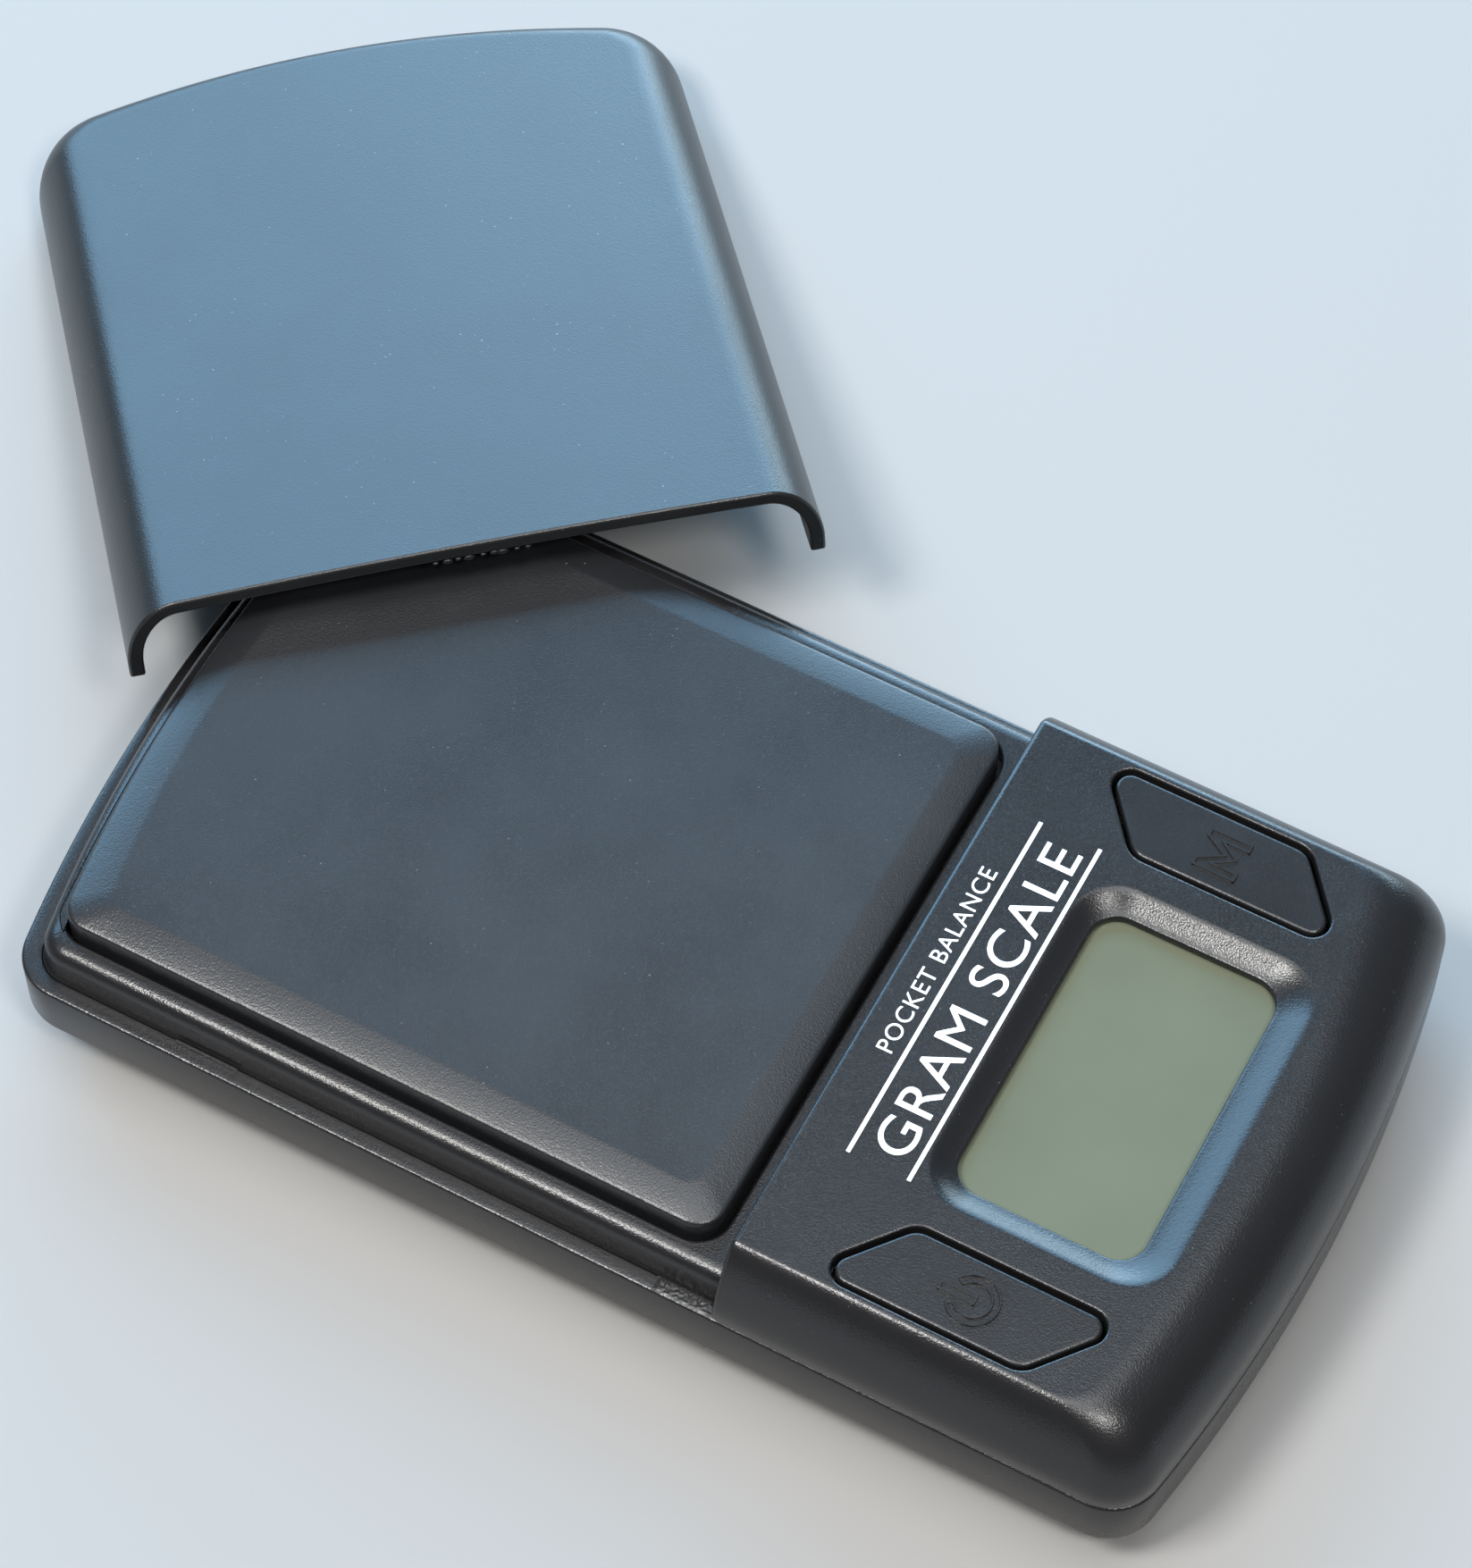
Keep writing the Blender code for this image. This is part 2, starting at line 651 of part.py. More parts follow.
def make_upper_case():
    case = hood_block("upper_case", 0.0, LEDGE_Z + GAP)
    cut(case, box("hood_front", (-FAR, HOOD_X), (-FAR, FAR), (0.0, HOOD_Z * 2)))
    border = prism("border_block", case_plan(BORDER_INSET), (BORDER_FOOT_Z, BORDER_Z))
    bevel_rim(border, True, BORDER_ROUND, 2)
    cut(border, box("border_end", (HOOD_X + BORDER_LAP, FAR), (-FAR, FAR), (0.0, HOOD_Z * 2)))
    join(case, border)
    hood_inside = hood_block("hood_inside", CASE_WALL, LEDGE_Z / 2)
    cut(hood_inside, box("hood_inside_end", (-FAR, HOOD_WALL_X), (-FAR, FAR), (0.0, HOOD_Z * 2)))
    wall = BORDER_INSET + UNDER_WALL
    hollow = plan((-TIP + wall, UNDER_END_X), HALF_W - wall, (PLATFORM_BOW, 0.0), (2.0, 1.0))
    well = plan((PLATFORM_X[0] - PLATFORM_GAP, PLATFORM_X[1] + PLATFORM_GAP),
                PLATFORM_HALF_W + PLATFORM_GAP, (PLATFORM_BOW, 0.0), (PLATFORM_CORNER + PLATFORM_GAP,) * 2)
    cut(case,
        hood_inside,
        prism("under_floor", hollow, (LEDGE_Z / 2, FLOOR_Z[0])),
        prism("platform_well", well, (FLOOR_Z[1], HOOD_Z * 1.5)),
        box("post_opening", POST_OPENING_X, (-POST_OPENING_HALF_W, POST_OPENING_HALF_W),
            (FLOOR_Z[0] - 1.0, FLOOR_Z[1] + 1.0)))
    for i, (x, y) in enumerate(CASE_SCREWS):
        end = end_sign(x)
        hole = (LEDGE_Z / 2, UPPER_HOLE_Z[end])
        join(case, cylinder(f"upper_boss_{i}", CASE_BOSS_R, UPPER_BOSS_Z[end], (x, y)))
        cut(case, cylinder(f"upper_boss_hole_{i}", CASE_HOLE_R, hole, (x, y), HOLE_SIDES))
    through = (OPENING_FOOT_Z, HOOD_Z * 1.5)
    for side, word in ((-1, "power"), (1, "mode")):
        cut(case, prism(f"{word}_opening", button_plan(side, 0.0), through))
    cut(case,
        prism("window_opening", window_plan(0.0, WINDOW_CORNER), through),
        make_bezel_cutter())
    as_part(case, CASE_BLACK)


# ---------------------------------------------------------------- platform

def make_platform(axis):
    outline = plan(PLATFORM_X, PLATFORM_HALF_W, (PLATFORM_BOW, 0.0), (PLATFORM_CORNER,) * 2)
    flat = plan((PLATFORM_X[0] + PLATFORM_BAND, PLATFORM_X[1] - PLATFORM_BAND),
                PLATFORM_HALF_W - PLATFORM_BAND, (PLATFORM_BOW, 0.0), (LEAST_CORNER,) * 2)
    tray = loft("weighing_platform", [(outline, PLATFORM_SKIRT_Z), (outline, PLATFORM_Z - PLATFORM_FALL),
                                      (flat, PLATFORM_Z)])
    inner = plan((PLATFORM_X[0] + PLATFORM_SKIRT, PLATFORM_X[1] - PLATFORM_SKIRT),
                 PLATFORM_HALF_W - PLATFORM_SKIRT, (PLATFORM_BOW, 0.0),
                 (PLATFORM_CORNER - PLATFORM_SKIRT,) * 2)
    plate_z = PLATFORM_Z - PLATFORM_PLATE
    cut(tray, prism("tray_inside", inner, (PLATFORM_SKIRT_Z / 2, plate_z - PLATFORM_FALL)))
    for i, place in enumerate(PILLARS):
        join(tray, cylinder(f"tray_pillar_{i}", PILLAR_R, (CARRIER_Z[1] + GAP, plate_z), place))
    tray.parent = axis
    as_part(tray, TRAY_SLATE)

    outline = plan(CARRIER_X, CARRIER_HALF_W, (0.0, 0.0), (CARRIER_CORNER,) * 2)
    carrier = prism("platform_carrier", outline, CARRIER_Z)
    through = (BEAM_Z[0], PLATFORM_Z)
    for i, side in enumerate((-1, 1)):
        y_range = sorted(side * y for y in CARRIER_SLOT_Y)
        cut(carrier, box(f"carrier_slot_{i}", CARRIER_SLOT_X, y_range, through))
    for i, x in enumerate(FREE_SCREWS_X):
        cut(carrier, cylinder(f"carrier_hole_{i}", BEAM_HOLE_R, through, (x, 0.0), HOLE_SIDES))
    carrier.parent = axis
    as_part(carrier, ALUMINIUM)

    spacer = box("carrier_spacer", SPACER_X, (-SPACER_HALF_W, SPACER_HALF_W),
                 (BEAM_Z[1] + SPACER_LIFT, CARRIER_Z[0] - GAP))
    for i, x in enumerate(FREE_SCREWS_X):
        cut(spacer, cylinder(f"spacer_hole_{i}", BEAM_HOLE_R, through, (x, 0.0), HOLE_SIDES))
    spacer.parent = axis
    as_part(spacer, ALUMINIUM)


# ---------------------------------------------------------------- load cell

def make_load_cell():
    beam = box("load_cell", BEAM_X, (-BEAM_HALF_W, BEAM_HALF_W), BEAM_Z)
    middle_z = (BEAM_Z[0] + BEAM_Z[1]) / 2
    across = (-BEAM_HALF_W * 1.5, BEAM_HALF_W * 1.5)
    for i, x in enumerate(BEAM_WAIST):
        cut(beam, cylinder_along_y(f"waist_hole_{i}", BEAM_WAIST_R, across, x, middle_z))
    cut(beam, box("waist_slot", BEAM_WAIST, across, (middle_z - BEAM_SLOT, middle_z + BEAM_SLOT)))
    for i, x in enumerate(FIXED_SCREWS_X + FREE_SCREWS_X):
        cut(beam, cylinder(f"beam_hole_{i}", BEAM_HOLE_R, (0.0, PLATFORM_Z), (x, 0.0), HOLE_SIDES))
    as_part(beam, ALUMINIUM)
    half_x, half_y = GAUGE_HALF
    for i, x in enumerate(BEAM_WAIST):
        foil = box(f"strain_gauge_{i + 1}", (x - half_x, x + half_x), (-half_y, half_y),
                   [BEAM_Z[1] + lift for lift in GAUGE_LIFT])
        as_part(foil, GAUGE_FOIL)


def lead_route(y, rise_y):
    """One lead of the load cell, from the gauges to the edge of the board."""
    return [(-23.5, y - 5.8, 11.6), (-21.0, y - 3.4, 11.7), (-17.5, y, 11.2), (-14.0, y, 9.6),
            (-8.0, y, 8.2), (2.0, y, 7.8), (10.0, y + (rise_y - y) * 0.3, 7.8),
            (16.0, y + (rise_y - y) * 0.75, 8.2), (19.2, rise_y, 10.2), (19.8, rise_y, 13.0),
            (19.75, rise_y, 16.2), (20.2, rise_y, 17.4), (21.4, rise_y, 17.6), (22.6, rise_y, 17.3)]


# ---------------------------------------------------------------- board and display

def make_board():
    left, right = BOARD_X
    tongue_x, tongue_y = BOARD_TONGUE
    near = [(left, -BOARD_HALF_W), (right, -BOARD_HALF_W), (right, -tongue_y), (tongue_x, -tongue_y)]
    board = prism("main_board", near + [(x, -y) for x, y in reversed(near)], BOARD_Z)
    for i, place in enumerate(BOARD_SCREWS):
        hole = (BOARD_Z[0] - 1.0, BOARD_Z[1] + 1.0)
        cut(board, cylinder(f"board_hole_{i}", BOARD_HOLE_R, hole, place, HOLE_SIDES))
    as_part(board, BOARD_GREEN)

    dome = [(0.0, 1.3), (1.6, 1.2), (2.9, 0.8), (3.6, 0.0), (0.0, 0.0)]
    chip = turned("chip_cover", dome, (CHIP_X, 0.0, BOARD_Z[1] + CHIP_LIFT))
    as_part(chip, EPOXY, round_shape=True)

    low, high, half = WINDOW_X[0] - LENS_LAP, WINDOW_X[1] + LENS_LAP, WINDOW_HALF_W + LENS_LAP
    as_part(prism("lcd_window", window_plan(LENS_LAP, LENS_CORNER), LENS_Z), CLEAR_PLASTIC)
    play_x, play_y = LCD_PLAY
    glass = box("lcd_glass", (low + play_x, high - play_x), (-half + play_y, half - play_y), LCD_Z)
    as_part(glass, LCD_GREY)
    wall = HOLDER_WALL
    holder = box("lcd_holder", (low - wall, high + wall), (-half - wall, half + wall),
                 (BOARD_Z[1] + GAP, LCD_Z[1]))
    room = play_x / 2
    cut(holder, box("holder_inside", (low - room, high + room), (-half, half), (BOARD_Z[0], HOOD_Z)))
    as_part(holder, WHITE_PLASTIC)
    between = (BOARD_Z[1] + GAP, LCD_Z[0] - GAP)
    for name, x in (("lcd_connector_left", low + CONNECTOR_IN[0]),
                    ("lcd_connector_right", high - CONNECTOR_IN[1])):
        strip = box(name, (x - CONNECTOR_HALF_X, x + CONNECTOR_HALF_X),
                    (-half + HOLDER_WALL, half - HOLDER_WALL), between)
        as_part(strip, RUBBER)


def make_button(side, word, axis):
    cap = prism(f"{word}_button", button_plan(side, -BUTTON_GAP), (CEILING_Z - BUTTON_SKIRT, BUTTON_Z))
    bevel_rim(cap, True, BUTTON_ROUND, 1)
    flange = prism(f"{word}_flange", button_plan(side, FLANGE_REACH), FLANGE_Z)
    post = cylinder(f"{word}_post", POST_R, POST_Z, (BUTTON_X, side * BUTTON_Y), HOLE_SIDES)
    join(cap, flange, post)
    cap.parent = axis
    as_part(cap, BUTTON_SATIN)

    place = (SWITCH_X, side * BUTTON_Y)
    stem = cylinder(f"{word}_stem", STEM_R, STEM_Z, place)
    stem.parent = axis
    as_part(stem, WHITE_PLASTIC, round_shape=True)
    x_range, y_range = [(centre - SWITCH_HALF, centre + SWITCH_HALF) for centre in place]
    body = box(f"{word}_switch", x_range, y_range, (BOARD_Z[1] + CHIP_LIFT, SWITCH_TOP_Z))
    cut(body, cylinder(f"{word}_switch_hole", STEM_R + GAP, (SWITCH_HOLE_FOOT_Z, CEILING_Z), place))
    as_part(body, EPOXY)


# ---------------------------------------------------------------- battery bay

def make_cells():
    nub_r, nub = CELL_NUB
    half = CELL_LENGTH / 2
    edge = CELL_ROUND
    profile = [(0.0, half), (nub_r, half), (nub_r, half - nub), (CELL_R - edge, half - nub),
               (CELL_R, half - nub - edge), (CELL_R, -half + edge), (CELL_R - edge, -half), (0.0, -half)]
    for i, (x, facing) in enumerate(zip(CELL_X, (-1, 1))):
        cell = turned(f"battery_{i + 1}", profile, (x, 0.0, CELL_Z), FINE_SIDES)
        cell.rotation_euler = (facing * math.radians(90), 0.0, 0.0)
        as_part(cell, CELL_JACKET, round_shape=True)


def spring_route(x, y_start, y_end):
    """Cone spring that narrows from the contact plate to the cell."""
    count = SPRING_TURNS * SPRING_STEPS
    wide, narrow = SPRING_R
    route = []
    for i in range(count + 1):
        part = i / count
        angle = 2 * math.pi * SPRING_TURNS * part
        radius = wide + (narrow - wide) * part
        route.append((x + radius * math.cos(angle), y_start + (y_end - y_start) * part,
                      CELL_Z + radius * math.sin(angle)))
    return route


def make_contacts():
    low, high = CELL_Z - CONTACT_HALF, CELL_Z + CONTACT_HALF
    for name, x in (("contact_positive", CELL_X[0]), ("contact_negative", CELL_X[1])):
        plate = box(name, (x - CONTACT_HALF, x + CONTACT_HALF), CONTACT_Y, (low, high))
        join(plate, box(name + "_tab", (x - TAB_HALF, x + TAB_HALF), TAB_Y, TAB_Z))
        as_part(plate, NICKEL)
    bridge = box("contact_bridge", (CELL_X[0] - CONTACT_HALF, CELL_X[1] + CONTACT_HALF),
                 (-CONTACT_Y[1], -CONTACT_Y[0]), (low, high))
    as_part(bridge, NICKEL)
    at_cell = CELL_LENGTH / 2 + SPRING_WIRE_R + SPRING_PLAY[0]
    at_plate = CONTACT_Y[0] - SPRING_WIRE_R - SPRING_PLAY[1]
    for i, (x, side) in enumerate(zip(CELL_X, (-1, 1))):
        route = spring_route(x, side * at_plate, side * at_cell)
        wire(f"battery_spring_{i + 1}", route, SPRING_WIRE_R, NICKEL, 1)
    for name, x, material in (("battery_lead_red", CELL_X[0], WIRE_RED),
                              ("battery_lead_black", CELL_X[1], WIRE_BLACK)):
        route = [(x, 27.6, 12.9), (x + 0.4, 28.0, 13.3), (x + 1.0, 28.3, 13.9), (x + 1.5, 28.4, 14.6),
                 (x + 1.6, 28.4, 15.2)]
        wire(name, route, BATTERY_LEAD_R, material)


def make_door(axis):
    door = case_block("battery_door", 0.0, UNDERSIDE, LEDGE_Z)
    keep_inside(door, box("door_plate", (DOOR_X, FAR), (-DOOR_HALF_W, DOOR_HALF_W), (0.0, DOOR_TOP_Z)))
    rail = DOOR_HALF_W + DOOR_RAIL
    join(door, box("door_rails", DOOR_RAIL_X, (-rail, rail), DOOR_RAIL_Z))
    width, half, depth = DOOR_GRIP
    for i, x in enumerate(DOOR_GRIPS_X):
        cut(door, box(f"door_grip_{i}", (x, x + width), (-half, half), (0.0, UNDERSIDE + depth)))
    door.parent = axis
    as_part(door, CASE_BLACK)


# ---------------------------------------------------------------- cover

def cover_plan(inset, end_inset):
    """Plan of the cover and its mirror image, bowed at the closed end."""
    reach = COVER_LENGTH - end_inset
    return plan((-reach, reach), COVER_HALF_W - inset, (COVER_BOW, COVER_BOW),
                (max(COVER_CORNER - inset, LEAST_CORNER),) * 2)


def cover_block(name, inset, low):
    """The cover's outer form, or its inside: rounded sides and a lightly crowned top."""
    side, end, rise = COVER_SHOULDER_Y - inset, COVER_SHOULDER_X - inset, COVER_SHOULDER_Z - inset
    rings = [(cover_plan(inset, inset), low)]
    for inwards, upwards in quarter(SHOULDER_STEPS):
        outline = cover_plan(inset + side * inwards, inset + end * inwards)
        rings.append((outline, -inset - rise * (1 - upwards)))
    crown_in = (COVER_HALF_W - COVER_SHOULDER_Y) / 2
    crown = cover_plan(COVER_SHOULDER_Y + crown_in, COVER_SHOULDER_X + crown_in)
    rings.append((crown, COVER_CROWN - inset))
    return loft(name, rings)


def make_cover(axis):
    cover = cover_block("cover", 0.0, -COVER_HEIGHT)
    inside = cover_block("cover_inside", COVER_WALL, -COVER_HEIGHT * 1.5)
    open_end = box("cover_open_end", (-COVER_LENGTH * 2, 0.0), (-FAR, FAR), (-FAR, FAR))
    for shape in (inside, open_end, cover):
        shape.parent = axis
    cut(cover, inside, open_end)
    as_part(cover, COVER_BLACK)


# ---------------------------------------------------------------- fasteners and feet

def make_screw(name, place, head, shank, z_head, up, parent=ROOT):
    """Pan-head screw. head and shank are (radius, length); up turns the head to the top."""
    head_r, head_h = head
    shank_r, shank_l = shank
    profile = [(0.0, head_h), (head_r * 0.75, head_h), (head_r, head_h * 0.55), (head_r, 0.0),
               (shank_r, 0.0), (shank_r, -shank_l + shank_r), (shank_r * 0.4, -shank_l), (0.0, -shank_l)]
    screw = turned(name, profile, (place[0], place[1], z_head), 14, parent)
    if not up:
        screw.rotation_euler = (math.pi, 0.0, 0.0)
    arm, depth = head_r * 0.6, head_h * 0.5
    wide, slim, deep = (-arm, arm), (-SLOT_HALF, SLOT_HALF), (head_h - depth, head_h + 1.0)
    slots = [box(f"{name}_slot_a", wide, slim, deep), box(f"{name}_slot_b", slim, wide, deep)]
    for slot in slots:
        slot.parent = parent
        slot.location = screw.location
        slot.rotation_euler = screw.rotation_euler
    cut(screw, *slots)
    as_part(screw, STEEL, round_shape=True)


def make_fasteners(platform_axis):
    for i, (x, y) in enumerate(CASE_SCREWS):
        shank = (1.0, CASE_SCREW_LENGTH[end_sign(x)])
        make_screw(f"case_screw_{i + 1}", (x, y), (2.1, 1.5), shank, CASE_RECESS[1] - GAP, False)
    for i, x in enumerate(FIXED_SCREWS_X):
        make_screw(f"load_cell_screw_{i + 1}", (x, 0.0), (2.8, 1.5), (BEAM_SCREW_R, 6.5), 2.7, False)
    for i, x in enumerate(FREE_SCREWS_X):
        make_screw(f"carrier_screw_{i + 1}", (x, 0.0), (2.6, 0.8), (BEAM_SCREW_R, 10.0), CARRIER_Z[1] + 0.2,
                   True, platform_axis)
    for i, place in enumerate(BOARD_SCREWS):
        make_screw(f"board_screw_{i + 1}", place, (1.9, 1.0), (0.8, 7.0), BOARD_Z[1] + GAP, True)


def make_feet():
    for i, place in enumerate(FEET):
        foot = cylinder(f"foot_{i + 1}", FOOT_R, (0.0, FOOT_HEIGHT), place, FINE_SIDES)
        bevel_rim(foot, False, FOOT_ROUND, 1)
        as_part(foot, RUBBER, round_shape=True)


# ---------------------------------------------------------------- assembly

def centre_footprint():
    """Move the whole object so that its box stands centred on the origin."""
    bpy.context.view_layer.update()
    depsgraph = bpy.context.evaluated_depsgraph_get()
    low, high = Vector((1.0, 1.0)), Vector((-1.0, -1.0))
    for thing in PARTS.objects:
        if thing.type != "MESH":
            continue
        evaluated = thing.evaluated_get(depsgraph)
        for vert in evaluated.data.vertices:
            place = evaluated.matrix_world @ vert.co
            low = Vector((min(low.x, place.x), min(low.y, place.y)))
            high = Vector((max(high.x, place.x), max(high.y, place.y)))
    ROOT.location.x = -(low.x + high.x) / 2
    ROOT.location.y = -(low.y + high.y) / 2
    bpy.context.view_layer.update()


def main():
    platform_axis = add_empty("platform_axis", parent=ROOT)
    power_axis = add_empty("power_axis", parent=ROOT)
    mode_axis = add_empty("mode_axis", parent=ROOT)
    door_axis = add_empty("door_axis", parent=ROOT)
    cover_axis = add_empty("cover_axis", COVER_PLACE, (0.0, COVER_TILT, COVER_TURN), ROOT)

    make_lower_case()
    make_upper_case()
    make_platform(platform_axis)
    make_load_cell()
    for name, y, rise_y, material in (("load_cell_lead_1", 8.0, 12.0, WIRE_RED),
                                      ("load_cell_lead_2", 9.2, 13.6, WIRE_BLACK),
                                      ("load_cell_lead_3", 10.4, 15.2, WIRE_GREEN),
                                      ("load_cell_lead_4", 11.6, 16.8, WIRE_WHITE)):
        wire(name, lead_route(y, rise_y), LEAD_R, material)
    make_board()
    make_button(-1, "power", power_axis)
    make_button(1, "mode", mode_axis)
    make_cells()
    make_contacts()
    make_door(door_axis)
    make_cover(cover_axis)
    make_fasteners(platform_axis)
    make_feet()
    centre_footprint()


main()
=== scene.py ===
"""Looks of a pocket gram scale with its cover leaning on the platform.

Sizes are in millimetres from the centre of the scale's footprint; SHIFT carries them to the row frame.
"""

import json
import math
import random

import bmesh
import bpy
from mathutils import Matrix, Vector, noise


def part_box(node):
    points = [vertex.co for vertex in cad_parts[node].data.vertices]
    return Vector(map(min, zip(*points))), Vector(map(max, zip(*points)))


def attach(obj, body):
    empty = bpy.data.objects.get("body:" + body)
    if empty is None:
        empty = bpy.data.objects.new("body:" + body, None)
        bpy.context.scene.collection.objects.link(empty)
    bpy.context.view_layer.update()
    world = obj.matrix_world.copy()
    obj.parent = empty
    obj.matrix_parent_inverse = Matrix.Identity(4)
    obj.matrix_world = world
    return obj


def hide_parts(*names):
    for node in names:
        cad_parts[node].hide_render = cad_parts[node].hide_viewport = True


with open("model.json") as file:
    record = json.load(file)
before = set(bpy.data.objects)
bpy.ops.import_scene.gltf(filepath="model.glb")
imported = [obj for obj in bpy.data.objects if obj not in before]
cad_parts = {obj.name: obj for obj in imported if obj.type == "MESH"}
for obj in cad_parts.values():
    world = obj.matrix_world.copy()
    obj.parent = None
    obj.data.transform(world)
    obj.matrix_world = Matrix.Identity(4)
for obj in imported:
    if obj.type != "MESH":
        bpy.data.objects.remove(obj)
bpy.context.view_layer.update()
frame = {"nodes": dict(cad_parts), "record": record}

MM = 0.001
case_low, case_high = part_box("lower_case")
SHIFT = Vector(((case_low.x + case_high.x) / 2, (case_low.y + case_high.y) / 2, 0.0))

# Whole scale
TIP = 65.0
HALF_W = 36.4
BOW = 3.8
CORNER = 5.5
LEAST_CORNER = 0.8
LEDGE_Z = 12.8

# Lower case: underside, door channel and battery bay
UNDER_Z = 1.0
SLOPE_IN = 4.95
CHANNEL_IN = 3.02
CHANNEL_X = 21.7
CHANNEL_HALF_W = 23.7
CHANNEL_LIP_Z = 1.5
CHANNEL_RAIL = 1.0
CHANNEL_Z = 2.7
CEILING_X = 49.5
BAY_X = (24.7, 47.9)
BAY_MOUTH = 22.9
BAY_HALF_W = 25.3
BAY_LIP_Z = 4.0
BAY_ROOF_Z = 13.9
BAY_CORNER = 0.4
FOOT_RECESS = (2.85, 1.9)
SCREW_RECESS = (2.45, 3.0)
BEAM_RECESS = ((-44.5, -38.5), 3.1, 2.75)

# Marks on the near ledge
SLOT_LINE = ((-43.0, -34.75), (-36.0, -34.75))
SLOT_TICK = ((-36.05, -34.62), (-36.05, -35.6))
ROUGH_X = (10.6, 6.4)
ROUGH_Y = (-36.2, 1.65)
ROUGH_GRID = (44, 14)

# Hood
HOOD_X = 17.3
HOOD_Z = 22.9
HOOD_LOW = 13.1
HOOD_EDGE = 0.45
SIDE_IN = 4.3
SIDE_POWER = 1.45
END_IN = 8.0
RISE = 8.0
TOP_CORNER = 3.6
SHOULDER_STEPS = 14
ROLLED_LIP = 0.25

# Window and bezel
WINDOW = (31.9, 51.5, 16.7, 3.0)
BEZEL = (29.3, 55.2, 19.5, 5.2)
WINDOW_Z = 21.75

# Platform and rim
RIM_IN = 2.15
RIM_Z = 16.9
WELL_Z = 14.6
PLATFORM = (-60.6, 14.5, 31.2, 3.0)
PLATFORM_BOW = 2.8
PLATFORM_Z = 19.8
PLATFORM_GAP = 0.45

# Buttons
BUTTON_IN = 22.75
BUTTON_OUT = 31.35
BUTTON_IN_X = (31.9, 54.0)
BUTTON_OUT_X = (24.9, 47.0)
BUTTON_Z = 22.75
BUTTON_HALF_GAP = 0.22
BUTTON_CORNERS = (1.7, 2.6, 1.7, 2.6)
BUTTON_SKIRT = 2.4
BUTTON_EDGE = 0.35
RIDGE = 0.24
RIDGE_Z = (BUTTON_Z - 0.05, BUTTON_Z + 0.22)
RIDGE_LIFT = 0.04
POWER_CENTRE = (39.9, -27.05)
POWER_RADII = (2.7, 1.95)
POWER_GAP = math.radians(34)
POWER_BAR = [(36.5, -27.45), (40.1, -27.45), (40.1, -26.65), (36.5, -26.65)]

# Print on the hood: words, size, x, y, spacing, stretch
PRINT_LINES = (("GRAM SCALE", 5.6, 27.9, 1.4, 1.06, 1.1), ("POCKET BALANCE", 2.5, 21.4, 3.4, 1.1, 1.0))
PRINT_DEPTH = 0.012
RULES_X = (22.55, 29.0)
RULE_Y = (-19.0, 21.8)
RULE_WIDTH = 0.42

# Cover, in its own frame
COVER_LENGTH = 81.1
COVER_HALF_W = 36.0
COVER_HEIGHT = 9.5
COVER_WALL = 1.6
COVER_BOW = 4.4
COVER_CORNER = 8.0
COVER_SIDE = 6.0
COVER_END = 3.2
COVER_RISE = 8.0
COVER_CROWN = 0.6
COVER_PLACE = (-41.28, 21.98, 25.26)
COVER_TURN = math.radians(180.0 - 49.26)
COVER_TILT = math.radians(11.33)
COVER_TOP_INSETS = (0.4, 1.5, 4.0, 7.0, 10.0, 13.0, 16.0, 19.0, 22.0, 25.0, 27.5)
SCAR_BLOBS = 9

# Lights: name, azimuth from +X towards +Y, elevation, distance, size, power, colour
NEUTRAL = (1.0, 0.98, 0.95)
LIGHTS = (
    ("sky_window", 130.0, 29.0, 1.4, (1.7, 1.1), 42.0, (0.36, 0.68, 1.0)),
    ("far_window", 99.0, 10.0, 1.3, (1.2, 0.42), 13.0, (0.6, 0.84, 1.0)),
    ("key_box", -121.0, 62.0, 1.1, (0.26, 0.26), 10.0, NEUTRAL),
    ("corner_box", -32.0, 58.0, 1.2, (0.2, 0.2), 6.0, NEUTRAL),
    ("top_fill", 20.0, 88.0, 1.6, (0.9, 0.9), 12.0, (0.96, 0.98, 1.0)),
)
LIGHT_TARGET = (0.0, 0.0, 0.01)
FLOOR_COLOUR = (0.33, 0.325, 0.32)
ROOM_COLOUR = (0.8, 0.84, 0.9, 1.0)
ROOM_STRENGTH = 0.16

# Camera
CAMERA_LENS = 121.25
CAMERA_PLACE = (118.88, -220.44, 469.54)
CAMERA_TURN = 0.493189
CAMERA_LIFT = 1.038097


# ---------------------------------------------------------------- outlines

def arc(centre, radius, start, end, steps):
    """Points on a circle from one angle to the other, both included."""
    angles = [start + (end - start) * i / steps for i in range(steps + 1)]
    return [(centre[0] + radius * math.cos(a), centre[1] + radius * math.sin(a)) for a in angles]


def bowed_end(tip, half_width, bow, corner, steps=12, end_steps=40):
    """Half of a plan: the end at +X, from its near corner to its far corner."""
    if bow == 0.0:
        near = arc((tip - corner, -(half_width - corner)), corner, -math.pi / 2, 0.0, steps)
        return near + [(x, -y) for x, y in reversed(near)]
    radius = (half_width ** 2 + bow ** 2) / (2 * bow)
    hub = tip - radius
    corner_y = half_width - corner
    corner_x = hub + math.sqrt((radius - corner) ** 2 - corner_y ** 2)
    turn = math.atan2(corner_y, corner_x - hub)
    near = arc((corner_x, -corner_y), corner, -math.pi / 2, -turn, steps)
    end = arc((hub, 0.0), radius, -turn, turn, end_steps)
    far = [(x, -y) for x, y in reversed(near)]
    return near + end[1:-1] + far


def plan(low, high, half_width, bows, corners):
    """Closed outline with a bowed or straight end at each side."""
    middle = (low + high) / 2
    reach = (high - low) / 2
    right = bowed_end(reach, half_width, bows[1], corners[1])
    left = [(-x, -y) for x, y in bowed_end(reach, half_width, bows[0], corners[0])]
    return [(x + middle, y) for x, y in right + left]


